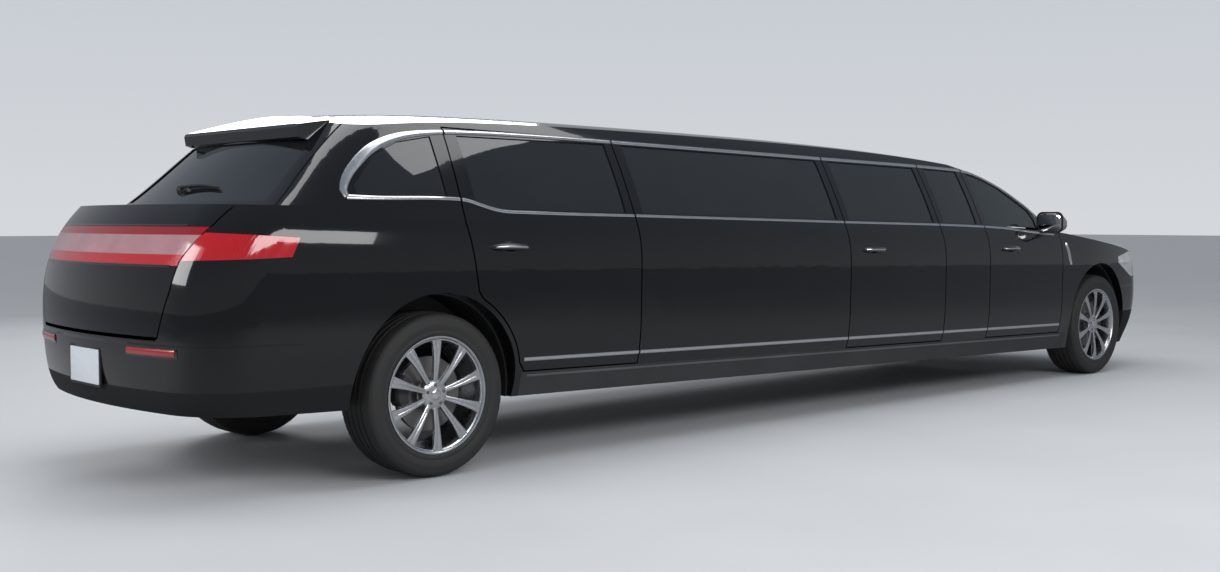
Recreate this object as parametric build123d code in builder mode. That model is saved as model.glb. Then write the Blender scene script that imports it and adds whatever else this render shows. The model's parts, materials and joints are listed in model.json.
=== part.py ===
"""Stretch limousine: a long crossover saloon with five side doors, a tailgate and a bonnet.

Millimetres.  +X runs to the nose, +Y to the left, +Z up.  The origin is on the ground at mid length.
Body pieces are drawn level, in the body's own frame, and then set down on the wheels with a small
nose-down rake.  Wheels, knuckles and axles are drawn on the ground.
"""

import math
import os
from collections import namedtuple

from build123d import *

# Driving dimensions
WHEELBASE = 6043.0
REAR_OVERHANG = 1222.2
FRONT_OVERHANG = 1016.0
RAKE = 1.12  # degrees, nose down
TAIL = -(WHEELBASE + REAR_OVERHANG + FRONT_OVERHANG) / 2
XR = TAIL + REAR_OVERHANG  # rear axle
XF = XR + WHEELBASE  # front axle
NOSE = XF + FRONT_OVERHANG

# Walls and gaps
DOOR_WALL = 90.0
FRAME_WALL = 45.0
ROOF_WALL = 40.0
SKIN = 12.0
REBATE = 24.0  # how far a door's inner part stands back from its skin's free edge
GLASS_WALL = 5.0
GLASS_SINK = 6.0
SHUT_GAP = 8.0
SEAM = 0.3

# Heights in the body frame
BOTTOM = 215.0
FLOOR_TOP = 285.0
FLOOR_WALL = 45.0
TUNNEL_TOP = FLOOR_TOP + 60.0
TUNNEL_HALF = 150.0
SILL_TOP = 330.0
BELT = 1085.0
BONNET_LIMIT = 1150.0
DOOR_TOP = 1475.0
DECK_WALL = 50.0
HIGH = 2000.0  # above everything
FAR = 1300.0  # beyond everything, from the body's side, tail or nose
LAP = 1.0  # how far a cutting solid runs past the surface it cuts
HAIR = 0.0001  # keeps two pieces that are cut by one outline from sharing a face
# Draw-in of a cabin slice for each millimetre of wall, where the cabin leans
LEAN_SIDE = 0.89
LEAN_TAIL = 0.66
LEAN_NOSE = 0.47

# Places along the body, from the rear axle: the seams of the side
X_REAR_DOOR = XR + 1230.0
X_MID_DOOR = XR + 2960.0
X_MID_DOOR_END = XR + 3970.0
X_FRONT_DOOR = XR + 4490.0
X_FENDER = XR + 5460.0
X_COWL = XF - 620.0
X_GATE = XR - 200.0  # roof to tailgate seam

# Slices of the lower body: height, half width, tail x, nose x
Slice = namedtuple("Slice", "z half tail nose")
LOWER = [
    Slice(BOTTOM, 905.0, XR - 1170.0, XF + 880.0),
    Slice(400.0, 950.0, XR - 1225.0, XF + 975.0),
    Slice(620.0, 963.0, XR - 1235.0, NOSE),
    Slice(820.0, 963.0, XR - 1210.0, XF + 975.0),
    Slice(980.0, 945.0, XR - 1140.0, XF + 880.0),
    Slice(BELT, 903.0, XR - 1060.0, XF + 760.0),
    Slice(BONNET_LIMIT, 875.0, XR - 1000.0, XF + 660.0),
]
# Slices of the cabin
UPPER = [
    Slice(BELT, 903.0, XR - 850.0, XF - 290.0),
    Slice(1200.0, 853.0, XR - 710.0, XF - 470.0),
    Slice(1320.0, 793.0, XR - 580.0, XF - 745.0),
    Slice(1420.0, 739.0, XR - 470.0, XF - 1065.0),
    Slice(DOOR_TOP, 706.0, XR - 405.0, XF - 1320.0),
    Slice(1560.0, 640.0, XR - 300.0, XF - 1800.0),
    Slice(1660.0, 560.0, XR - 190.0, XF - 2330.0),
]
# Roundings of one end of a slice: end arc, corner arc, side arc, and where the side starts to draw in
Ends = namedtuple("Ends", "end corner side start")
LOWER_TAIL = Ends(2900.0, 330.0, 9000.0, XR + 100.0)
LOWER_NOSE = Ends(2000.0, 420.0, 6000.0, XF - 250.0)
UPPER_TAIL = Ends(2600.0, 230.0, 9000.0, XR + 100.0)
UPPER_NOSE = Ends(2300.0, 230.0, 12000.0, XF - 2100.0)

# Crowned skins: x and the height at the middle
Crown = namedtuple("Crown", "x z")
ROOF_CROWN = [
    Crown(XR - 1000.0, 1330.0),
    Crown(XR - 420.0, 1500.0),
    Crown(XR + 500.0, 1578.0),
    Crown(XR + 2000.0, 1600.0),
    Crown(XF - 2600.0, 1596.0),
    Crown(XF - 1500.0, 1550.0),
    Crown(XF - 600.0, 1420.0),
]
ROOF_HALF = 660.0
ROOF_DROP = 62.0  # from the middle to ROOF_HALF
CROWN_SPREAD = 1.6  # how far past its half width a crowned solid is drawn
BONNET_CROWN = [
    Crown(XF - 700.0, 1138.0),
    Crown(XF - 100.0, 1085.0),
    Crown(XF + 480.0, 1010.0),
    Crown(XF + 900.0, 900.0),
    Crown(XF + 1200.0, 740.0),
]
BONNET_HALF = 880.0
BONNET_DROP = 70.0

# Wheels
TYRE_R = 372.0
TYRE_HALF = 127.0
TYRE_Y = 812.0
RIM_R = 266.0
BARREL_R = 236.0
HUB_R = 84.0
AXLE_R = 30.0
RUNNING = 0.05
SPOKES = 10
DISC_R = 170.0
DISC_WALL = 26.0
ARCH_R = 440.0
ARCH_Z = 392.0
LINER_WALL = 8.0
LINER_Y_FRONT = 470.0
LINER_Y_REAR = 640.0
KINGPIN_Y = 715.0
KINGPIN_R = 14.0
BALL_RISE = 125.0

# Door hinges
HINGE_BACK = 45.0  # from a door's leading edge to its hinge pin
HINGE_Y = 948.0
PIN_R = 5.0
KNUCKLE_R = 10.0
KNUCKLE_TALL = 40.0
POCKET_TALL = 70.0
POCKET_R = 12.5
POCKET_SPARE = 5.0  # how far a pocket reaches outboard of its pin, for the arm of the open door
HINGE_Z = (570.0, 850.0)

# Tailgate and bonnet hinges
GATE_BACK = 110.0
GATE_PIN_Y = 430.0
GATE_ARM_DROP = 126.0  # from the pin to the underside of the arm's level leg
GATE_ARM_RISE = 22.0
GATE_ARM_REACH = 40.0  # ahead of the roof seam
GATE_POCKET_RISE = 9.0
GATE_REBATE = 40.0  # how far the gate's inner part stands back from its skin's edge
GATE_BOTTOM = 530.0
BONNET_GAP = 8.0
BONNET_PIN_Y = 640.0
BONNET_WALL = 30.0


def circle_meet(c0, r0, c1, r1):
    """The point at distance r0 from c0 and r1 from c1 with the larger y."""
    dx, dy = c1[0] - c0[0], c1[1] - c0[1]
    d = math.hypot(dx, dy)
    a = (r0 * r0 - r1 * r1 + d * d) / (2 * d)
    h = math.sqrt(r0 * r0 - a * a)
    ends = [
        (c0[0] + a * dx / d - s * h * dy / d, c0[1] + a * dy / d + s * h * dx / d)
        for s in (-1, 1)
    ]
    return max(ends, key=lambda p: p[1])


def on_arc(centre, radius, p, q):
    """The middle of the short arc from p to q about centre."""
    mx = (p[0] + q[0]) / 2 - centre[0]
    my = (p[1] + q[1]) / 2 - centre[1]
    k = radius / math.hypot(mx, my)
    return (centre[0] + mx * k, centre[1] + my * k)


def away(centre, radius, point):
    """The point at radius from centre, on the ray through point."""
    k = radius / math.hypot(point[0] - centre[0], point[1] - centre[1])
    return (centre[0] + (point[0] - centre[0]) * k, centre[1] + (point[1] - centre[1]) * k)


def end_points(half, tip, ends, way):
    """Corner and side arcs of one end, from the middle outwards.  way is -1 at the tail, +1 at the nose."""
    e = (tip - way * ends.end, 0.0)
    s = (ends.start, half - ends.side)
    c = circle_meet(e, ends.end - ends.corner, s, ends.side - ends.corner)
    t1 = away(e, ends.end, c)
    t2 = away(s, ends.side, c)
    t3 = (ends.start, half)
    return t1, on_arc(c, ends.corner, t1, t2), t2, on_arc(s, ends.side, t2, t3), t3


def flip(point):
    """The same point on the other side."""
    return (point[0], -point[1])


def plan_outline(z, half, tail, nose, tail_ends, nose_ends):
    """A horizontal slice of the body as a face."""
    a1, a12, a2, a23, a3 = end_points(half, tail, tail_ends, -1)
    b1, b12, b2, b23, b3 = end_points(half, nose, nose_ends, 1)
    with BuildSketch(Plane.XY.offset(z)) as outline:
        with BuildLine():
            ThreePointArc(a1, a12, a2)
            ThreePointArc(a2, a23, a3)
            Line(a3, b3)
            ThreePointArc(b3, b23, b2)
            ThreePointArc(b2, b12, b1)
            ThreePointArc(b1, (nose, 0), flip(b1))
            ThreePointArc(flip(b1), flip(b12), flip(b2))
            ThreePointArc(flip(b2), flip(b23), flip(b3))
            Line(flip(b3), flip(a3))
            ThreePointArc(flip(a3), flip(a23), flip(a2))
            ThreePointArc(flip(a2), flip(a12), flip(a1))
            ThreePointArc(flip(a1), (tail, 0), a1)
        make_face()
    return outline.sketch


def stack(slices, side, tail, nose, tail_ends, nose_ends):
    """A loft through slices that are drawn in by side, tail and nose."""
    with BuildPart() as solid:
        loft(
            sections=[
                plan_outline(s.z, s.half - side, s.tail + tail, s.nose - nose, tail_ends, nose_ends)
                for s in slices
            ]
        )
    return solid.part


def under_crown(crown, half, drop, depth):
    """The long solid under a crowned skin that lies depth below the table's."""
    wide = half * CROWN_SPREAD
    fall = drop * CROWN_SPREAD ** 2
    with BuildPart() as solid:
        faces = []
        for c in crown:
            top = c.z - depth
            with BuildSketch(Plane(origin=(c.x, 0, 0), x_dir=(0, 1, 0), z_dir=(1, 0, 0))) as face:
                with BuildLine():
                    ThreePointArc((-wide, top - fall), (0, top), (wide, top - fall))
                    Polyline((wide, top - fall), (wide, 0), (-wide, 0), (-wide, top - fall))
                make_face()
            faces.append(face.sketch)
        loft(sections=faces)
    return solid.part


def block(x0, x1, y0, y1, z0, z1):
    """A box between two corners."""
    with BuildPart() as solid:
        with Locations(((x0 + x1) / 2, (y0 + y1) / 2, (z0 + z1) / 2)):
            Box(x1 - x0, y1 - y0, z1 - z0)
    return solid.part


def side_prism(points, y0, y1):
    """An outline in the side view, x and z, carried across from y0 to y1."""
    with BuildPart() as solid:
        with BuildSketch(Plane.XZ.offset(-y1)):
            with BuildLine():
                Polyline(*points, close=True)
            make_face()
        extrude(amount=y1 - y0)
    return solid.part


def end_prism(points, x0, x1):
    """An outline in the end view, y and z, carried from x0 to x1."""
    with BuildPart() as solid:
        with BuildSketch(Plane.YZ.offset(x0)):
            with BuildLine():
                Polyline(*points, close=True)
            make_face()
        extrude(amount=x1 - x0)
    return solid.part


def plan_prism(points, z0, z1):
    """An outline in the plan view, x and y, carried from z0 to z1."""
    with BuildPart() as solid:
        with BuildSketch(Plane.XY.offset(z0)):
            with BuildLine():
                Polyline(*points, close=True)
            make_face()
        extrude(amount=z1 - z0)
    return solid.part


def across(x, z, radius, y0, y1):
    """A cylinder along Y."""
    with BuildPart() as solid:
        with BuildSketch(Plane.XZ.offset(-y1)):
            with Locations((x, z)):
                Circle(radius)
        extrude(amount=y1 - y0)
    return solid.part


def upright(x, y, radius, z0, z1):
    """A cylinder along Z."""
    with BuildPart() as solid:
        with BuildSketch(Plane.XY.offset(z0)):
            with Locations((x, y)):
                Circle(radius)
        extrude(amount=z1 - z0)
    return solid.part


def level(x, z):
    """A point on the ground frame, in the level body frame."""
    a = math.radians(RAKE)
    dx = x - XF
    return (XF + dx * math.cos(a) - z * math.sin(a), dx * math.sin(a) + z * math.cos(a))


def set_down(part):
    """A body piece, turned from the level frame to its rake on the wheels."""
    return part.rotate(Axis((XF, 0, 0), (0, 1, 0)), RAKE)


def twin(part):
    """The same piece on the right."""
    return mirror(part, about=Plane.XZ)


def both(part):
    """Left and right pieces together."""
    return Compound([*part.solids(), *twin(part).solids()])


def save(name, part):
    """Write one piece."""
    part.label = name
    export_step(part, f"parts/{name}.step")


ARCH_CLEAR = 30.0
SILL_REAR = XR + ARCH_R + ARCH_CLEAR
SILL_FRONT = XF - ARCH_R - ARCH_CLEAR
REAR_ARCH = level(XR, ARCH_Z)
FRONT_ARCH = level(XF, ARCH_Z)


def upper_skin(depth):
    """The cabin drawn in by depth."""
    return stack(UPPER, depth / LEAN_SIDE, depth / LEAN_TAIL, depth / LEAN_NOSE, UPPER_TAIL, UPPER_NOSE)


# The closed outer body and the closed hollow inside it
def body_solid(side, frame, roof, nose_depth):
    """The whole body with side walls drawn in by side, frames by frame, roof and bonnet lowered."""
    lower = stack(LOWER, side, side, side, LOWER_TAIL, LOWER_NOSE)
    bonnet = under_crown(BONNET_CROWN, BONNET_HALF, BONNET_DROP, nose_depth)
    deck = BELT - (DECK_WALL if side else 0.0)
    lower = lower - block(TAIL - FAR, X_COWL, -FAR, FAR, deck, BONNET_LIMIT + FAR)
    front = block(X_COWL, NOSE + FAR, -FAR, FAR, 0, 2 * FAR)
    lower = lower - (front - bonnet)
    upper = upper_skin(frame) & under_crown(ROOF_CROWN, ROOF_HALF, ROOF_DROP, roof)
    whole = lower + upper
    if side:
        s = UPPER[0]
        with BuildPart() as well:
            add(plan_outline(deck - LAP, s.half - side, s.tail + side, X_COWL, UPPER_TAIL, UPPER_NOSE))
            extrude(amount=DECK_WALL + LAP, dir=(0, 0, 1))
        whole = whole + well.part
    return whole


OUTER = body_solid(0.0, 0.0, 0.0, 0.0)
HOLLOW = body_solid(DOOR_WALL, FRAME_WALL, ROOF_WALL, BONNET_WALL)
SHELL = OUTER - HOLLOW

# Seams of the side, in the side view: points shared by the pieces on both sides of them
A_LINE = [
    (XR + 4520.0, DOOR_TOP), (XR + 4760.0, 1440.0), (XR + 4960.0, 1386.0),
    (XR + 5345.0, 1212.0), (XR + 5408.0, 1150.0), (X_FENDER, 1040.0), (X_FENDER, SILL_TOP),
]
C_LINE = [(XR + 480.0, SILL_TOP), (XR + 190.0, 715.0), (XR + 135.0, 1020.0), (XR + 150.0, DOOR_TOP)]

# Window openings, in the side view
WINDOW_SILL = BELT + 12.0
WINDOW_TOP = 1450.0
PILLAR = 60.0  # window frame beside a seam
REAR_WINDOW = [
    (XR + 225.0, 1125.0), (XR + 225.0, 1436.0), (X_REAR_DOOR - PILLAR, WINDOW_TOP),
    (X_REAR_DOOR - PILLAR, WINDOW_SILL), (XR + 350.0, WINDOW_SILL),
]
FRONT_WINDOW = [
    (X_FRONT_DOOR + PILLAR, WINDOW_SILL), (X_FRONT_DOOR + PILLAR, WINDOW_TOP - 4.0),
    (XR + 4740.0, 1412.0), (XR + 4930.0, 1358.0), (XR + 5265.0, 1204.0), (XR + 5318.0, 1140.0),
    (XR + 5318.0, 1062.0), (XR + 5060.0, WINDOW_SILL - 30.0),
]
QUARTER_WINDOW = [
    (XR - 405.0, 1175.0), (XR - 262.0, 1325.0), (XR - 120.0, 1388.0), (XR + 70.0, 1424.0),
    (XR + 70.0, 1148.0), (XR - 395.0, 1140.0),
]


def window(x0, x1):
    """A straight window opening between two seams."""
    a, b = x0 + PILLAR, x1 - PILLAR
    return [(a, WINDOW_SILL), (a, WINDOW_TOP), (b, WINDOW_TOP), (b, WINDOW_SILL)]


# Side doors: name, rear seam, front seam, outline, window, sides
Door = namedtuple("Door", "name x1 outline window sides")
DOORS = [
    Door("rear_door", X_REAR_DOOR, [*C_LINE, (X_REAR_DOOR, DOOR_TOP), (X_REAR_DOOR, SILL_TOP)],
         REAR_WINDOW, ("left", "right")),
    Door("middle_door", X_MID_DOOR_END,
         [(X_MID_DOOR, SILL_TOP), (X_MID_DOOR, DOOR_TOP), (X_MID_DOOR_END, DOOR_TOP),
          (X_MID_DOOR_END, SILL_TOP)],
         window(X_MID_DOOR, X_MID_DOOR_END), ("right",)),
    Door("front_door", X_FENDER, [(X_FRONT_DOOR, SILL_TOP), (X_FRONT_DOOR, DOOR_TOP), *A_LINE],
         FRONT_WINDOW, ("left", "right")),
]
ROOM_Y = 590.0  # no side wall lies inboard of this
BELT_INNER = UPPER[0].half - DOOR_WALL
ARCH_LIP = 22.0
ARM_WALL = 12.0
ARM_IN = 66.0  # how far an arm turns in from its pin
ARM_Y = HINGE_Y - ARM_IN
ARM_ROOT = 20.0


def drawn_in(outline, by, y0=ROOM_Y, y1=FAR):
    """The prism of a side-view outline whose edges are moved in by a gap."""
    with BuildPart() as solid:
        with BuildSketch(Plane.XZ.offset(-y1)):
            with BuildLine():
                Polyline(*outline, close=True)
            make_face()
            offset(amount=-by, kind=Kind.INTERSECTION)
        extrude(amount=y1 - y0)
    return solid.part


def fixed(outline, *others):
    """A fixed piece of the left wall inside a side-view outline, without the prisms given."""
    piece = SHELL_LEFT & drawn_in(outline, SEAM / 2)
    for x, z in (REAR_ARCH, FRONT_ARCH):
        piece = piece - across(x, z, ARCH_R, 0, FAR)
    for other in others:
        piece = piece - other
    return piece


def sheet(outline):
    """A pane in the left wall that fills a side-view opening."""
    return GLASS_LEFT & drawn_in(outline, SEAM, ROOM_Y)


LAMP_WALL = 40.0
SKIN_INNER = body_solid(SKIN, SKIN, SKIN, SKIN)
GLASS_OUTER = upper_skin(GLASS_SINK)
GLASS_INNER = upper_skin(GLASS_SINK + GLASS_WALL)
LAMP_INNER = body_solid(LAMP_WALL, LAMP_WALL, LAMP_WALL, LAMP_WALL)
LEFT = block(TAIL - FAR, NOSE + FAR, 0.0, FAR, 0.0, 2 * FAR)
RIND = OUTER - SKIN_INNER
RIND_LEFT = RIND & LEFT
SHELL_LEFT = SHELL & LEFT
LAMP_RIND = OUTER - LAMP_INNER
GLASS = GLASS_OUTER - GLASS_INNER
GLASS_LEFT = GLASS & LEFT
DOOR_SPARE = 20.0
# What may belong to a door: the wall below the belt, and the leaning wall of the cabin above it
DOOR_ZONE = (
    block(TAIL, NOSE, BELT_INNER - DOOR_SPARE, FAR, 0.0, BELT - DECK_WALL)
    + block(TAIL, NOSE, BELT_INNER, FAR, BELT - DECK_WALL, BELT)
    + block(TAIL, NOSE, ROOM_Y, FAR, BELT, DOOR_TOP)
)


def hinge_x(door):
    """Where a door's hinge pin stands."""
    return door.x1 - SHUT_GAP - HINGE_BACK


def make_door(door):
    """A door with an outer skin, a stepped inner part, a window, hinge pockets and pins."""
    outer_part = RIND_LEFT & drawn_in(door.outline, SHUT_GAP - SEAM / 2)
    inner_part = (SHELL_LEFT & drawn_in(door.outline, SHUT_GAP + REBATE)) - RIND_LEFT
    piece = (outer_part + inner_part) & DOOR_ZONE
    if door.name == "rear_door":
        piece = piece - across(*REAR_ARCH, ARCH_R + ARCH_LIP + SHUT_GAP, 0, FAR)
    piece = piece - side_prism(door.window, ROOM_Y, FAR)
    x = hinge_x(door)
    for z in HINGE_Z:
        low, high = z - POCKET_TALL / 2, z + POCKET_TALL / 2
        piece = piece - upright(x, HINGE_Y, POCKET_R, low, high)
        piece = piece - block(x - POCKET_R, door.x1, ROOM_Y, HINGE_Y + POCKET_SPARE, low, high)
    for z in HINGE_Z:
        piece = piece + upright(x, HINGE_Y, PIN_R, z - POCKET_TALL / 2 - LAP, z + POCKET_TALL / 2 + LAP)
    return piece


def hinge_arms(door):
    """The body's half of a door's hinges: a knuckle on an arm that turns in behind the door's edge."""
    x = hinge_x(door)
    end = door.x1 + ARM_ROOT
    with BuildPart() as arms:
        for z in HINGE_Z:
            with BuildSketch(Plane.XY.offset(z - KNUCKLE_TALL / 2)):
                with Locations((x, HINGE_Y)):
                    Circle(KNUCKLE_R)
                with BuildLine():
                    Polyline(
                        (x - ARM_WALL / 2, HINGE_Y), (x - ARM_WALL / 2, ARM_Y),
                        (end, ARM_Y), (end, ARM_Y + ARM_WALL),
                        (x + ARM_WALL / 2, ARM_Y + ARM_WALL), (x + ARM_WALL / 2, HINGE_Y), close=True,
                    )
                make_face()
                with Locations((x, HINGE_Y)):
                    Circle(PIN_R + RUNNING, mode=Mode.SUBTRACT)
            extrude(amount=KNUCKLE_TALL)
    return arms.part


def build_doors():
    """Doors and their glass."""
    for door in DOORS:
        piece = make_door(door)
        glass = sheet(door.window)
        for side in door.sides:
            for name, solid in ((f"{door.name}_{side}", piece), (f"{door.name}_glass_{side}", glass)):
                save(name, set_down(twin(solid) if side == "right" else solid))


# Tailgate, seen from the end, and the roof seam
GATE_OUTLINE = [
    (600.0, GATE_BOTTOM), (668.0, 720.0), (690.0, 850.0), (760.0, 1000.0),
    (770.0, 1074.0), (700.0, 1220.0), (620.0, 1475.0), (585.0, 1620.0),
]
GATE_WINDOW = [(680.0, 1105.0), (590.0, 1335.0), (570.0, 1385.0)]
GATE_PANE_FRONT = XR - 440.0
GATE_POCKET_DROP = 300.0
GATE_TOP_GAP = 16.0
GATE_TOP_X = X_GATE - GATE_TOP_GAP
GATE_PIN_X = GATE_TOP_X - GATE_BACK
GATE_PIN_Z = 1468.0
LAMP_LOW = 831.0
LAMP_HIGH = 990.0
LAMP_FRONT = XR - 900.0
SPOILER_HALF = 545.0
SPOILER_PROUD = 9.0
SPOILER_SIDE = [
    (XR - 330.0, 1530.0), (XR - 420.0, 1490.0), (XR - 500.0, 1456.0), (XR - 508.0, 1440.0),
    (XR - 500.0, 1396.0), (XR - 470.0, 1388.0), (XR - 360.0, 1388.0),
]


def mirrored_outline(points):
    """A closed end-view outline from its left half."""
    return [*points, *[(-y, z) for y, z in reversed(points)]]


def cut_back(outline, by, x0, x1):
    """The prism of an end-view outline whose edges are moved in by a gap."""
    with BuildPart() as solid:
        with BuildSketch(Plane.YZ.offset(x0)):
            with BuildLine():
                Polyline(*outline, close=True)
            make_face()
            offset(amount=-by, kind=Kind.INTERSECTION)
        extrude(amount=x1 - x0)
    return solid.part


GATE_ALL = mirrored_outline(GATE_OUTLINE)
GATE_SPACE = cut_back(GATE_ALL, HAIR, TAIL - FAR, X_GATE)


def gate_hinge_arms():
    """The roof's half of the tailgate hinges."""
    x, z = GATE_PIN_X, GATE_PIN_Z
    reach = X_GATE + GATE_ARM_REACH
    foot = z - GATE_ARM_DROP
    head = z + GATE_ARM_RISE
    with BuildPart() as arms:
        for y in (-GATE_PIN_Y, GATE_PIN_Y):
            with BuildSketch(Plane.XZ.offset(-y - KNUCKLE_TALL / 2)):
                with Locations((x, z)):
                    Circle(KNUCKLE_R)
                with BuildLine():
                    Polyline(
                        (x - ARM_WALL / 2, z), (x - ARM_WALL / 2, foot), (reach + ARM_WALL, foot),
                        (reach + ARM_WALL, head), (reach, head), (reach, foot + ARM_WALL),
                        (x + ARM_WALL / 2, foot + ARM_WALL), (x + ARM_WALL / 2, z), close=True,
                    )
                make_face()
                with Locations((x, z)):
                    Circle(PIN_R + RUNNING, mode=Mode.SUBTRACT)
            extrude(amount=KNUCKLE_TALL)
    return arms.part


def build_tailgate():
    """Tailgate with its glass, lamp bar and spoiler."""
    gate = RIND & cut_back(GATE_ALL, SHUT_GAP, TAIL - FAR, GATE_TOP_X)
    gate = gate + ((SHELL & cut_back(GATE_ALL, SHUT_GAP + GATE_REBATE, TAIL - FAR, GATE_TOP_X)) - RIND)
    hole = mirrored_outline(GATE_WINDOW)
    gate = gate - end_prism(hole, TAIL - FAR, GATE_PANE_FRONT)
    for y in (-GATE_PIN_Y, GATE_PIN_Y):
        a, b = y - POCKET_TALL / 2, y + POCKET_TALL / 2
        gate = gate - across(GATE_PIN_X, GATE_PIN_Z, POCKET_R, a, b)
        gate = gate - block(
            GATE_PIN_X - POCKET_R, X_GATE, a, b, GATE_PIN_Z - GATE_POCKET_DROP, GATE_PIN_Z + GATE_POCKET_RISE
        )
        gate = gate + across(GATE_PIN_X, GATE_PIN_Z, PIN_R, a - LAP, b + LAP)
    band = block(TAIL - FAR, LAMP_FRONT, -FAR, FAR, LAMP_LOW, LAMP_HIGH) & LAMP_RIND
    lamp = gate & band
    gate = gate - band
    glass = GLASS & cut_back(hole, SEAM, TAIL - FAR, GATE_PANE_FRONT)
    save("tailgate", set_down(gate))
    save("tail_lamp_bar", set_down(lamp))
    save("tailgate_glass", set_down(glass))
    with BuildPart() as spoiler:
        with BuildSketch(Plane.XZ.offset(-SPOILER_HALF)):
            with BuildLine():
                Polyline(*SPOILER_SIDE, close=True)
            make_face()
        extrude(amount=2 * SPOILER_HALF)
    wing = (spoiler.part - OUTER) & under_crown(ROOF_CROWN, ROOF_HALF, ROOF_DROP, -SPOILER_PROUD)
    save("spoiler", set_down(wing))


# The nose: bonnet in plan, fascia and lamps
HOOD_OUTLINE = [
    (XF - 195.0, 0.0), (XF - 225.0, 250.0), (XF - 320.0, 500.0), (XF - 435.0, 672.0), (XF - 200.0, 700.0),
    (XF + 400.0, 680.0), (XF + 700.0, 620.0), (XF + 745.0, 560.0), (XF + 775.0, 250.0), (XF + 785.0, 0.0),
]
HOOD_LOW = 850.0
SCREEN_CLEAR = 12.0  # between the bonnet and the windscreen
BONNET_PIN_X = XF - 345.0
BONNET_PIN_Z = 1052.0
LUG_WALL = 14.0
LUG_BACK = 30.0
LUG_FRONT = 60.0
LUG_TOP = 1100.0
HOOD_POCKET_BACK = 200.0
HOOD_POCKET_LOW = 800.0
FASCIA_SIDE = [
    (XF + 285.0, 0.0), (XF + 285.0, 690.0), (XF + 560.0, 705.0), (NOSE + 300.0, 705.0), (NOSE + 300.0, 0.0),
]
FASCIA_HALF = 545.0
FASCIA_FRONT = XF + 600.0
FASCIA_TOP = 1200.0
GRILLE_OUTLINE = [(470.0, 430.0), (505.0, 640.0), (520.0, 860.0)]
GRILLE_BACK = XF + 500.0
GRILLE_BARS = 21
GRILLE_PITCH = 48.0
GRILLE_BAR = 12.0
GRILLE_BORDER = 16.0
GRILLE_LOW = 300.0
GRILLE_HIGH = 1000.0
GRILLE_CROSS_HALF = 510.0
GRILLE_CROSS_Z = 640.0
LAMP_SIDE = [
    (XF + 300.0, 835.0), (XF + 300.0, 880.0), (XF + 500.0, 918.0), (NOSE + 300.0, 925.0),
    (NOSE + 300.0, 735.0), (XF + 560.0, 728.0),
]
FENDER_SIDE = [
    (X_FENDER, SILL_TOP), *reversed(A_LINE[4:6]), (XR + 5500.0, 1300.0), (NOSE + 300.0, 1300.0),
    (NOSE + 300.0, 0.0), (SILL_FRONT, 0.0), (SILL_FRONT, SILL_TOP),
]
FENDER_Y = 668.0  # inboard edge of the fenders' walls
FENDER_LOW = SILL_TOP - 120.0
FENDER_HIGH = BELT + 100.0
COWL_SINK = 45.0
COWL_SKIN = 20.0
COWL_BACK = XF - 560.0
COWL_FRONT = XF - 200.0
COWL_WALL = 30.0
COWL_LOW = 700.0
WALL_TOP = 1200.0
COWL_HALF = 470.0  # clear of the bonnet's rear corners, which swing down behind its pins
HOOD_ARM_DROP = 80.0  # from the pin to the top of the arm's level leg
ARM_BITE = 10.0


BONNET_FULL = under_crown(BONNET_CROWN, BONNET_HALF, BONNET_DROP, 0.0)
BONNET_LOW = under_crown(BONNET_CROWN, BONNET_HALF, BONNET_DROP, BONNET_GAP)


def plan_space(points, by, z0, z1):
    """The prism of a plan outline, given by its left half, with its edges moved in by a gap."""
    with BuildPart() as solid:
        with BuildSketch(Plane.XY.offset(z0)):
            with BuildLine():
                Polyline(*points, *[flip(p) for p in reversed(points[1:-1])], close=True)
            make_face()
            offset(amount=-by, kind=Kind.INTERSECTION)
        extrude(amount=z1 - z0)
    return solid.part


def hood_arms():
    """The body's half of the bonnet hinges."""
    x, z = BONNET_PIN_X, BONNET_PIN_Z
    back = COWL_BACK + COWL_WALL - ARM_BITE
    leg = z - HOOD_ARM_DROP
    with BuildPart() as arms:
        for y in (-BONNET_PIN_Y, BONNET_PIN_Y):
            with BuildSketch(Plane.XZ.offset(-y - KNUCKLE_TALL / 2)):
                with Locations((x, z)):
                    Circle(KNUCKLE_R)
                with BuildLine():
                    Polyline(
                        (x - ARM_WALL / 2, z), (x - ARM_WALL / 2, leg), (back, leg),
                        (back, leg - ARM_WALL), (x + ARM_WALL / 2, leg - ARM_WALL),
                        (x + ARM_WALL / 2, z), close=True,
                    )
                make_face()
                with Locations((x, z)):
                    Circle(PIN_R + RUNNING, mode=Mode.SUBTRACT)
            extrude(amount=KNUCKLE_TALL)
    return arms.part


def tunnel_space(x0, x1):
    """The floor tunnel's section with its seam, to clear an upright wall."""
    half = TUNNEL_HALF + SEAM
    return block(x0, x1, -half, half, 0.0, TUNNEL_TOP + SEAM)


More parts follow.
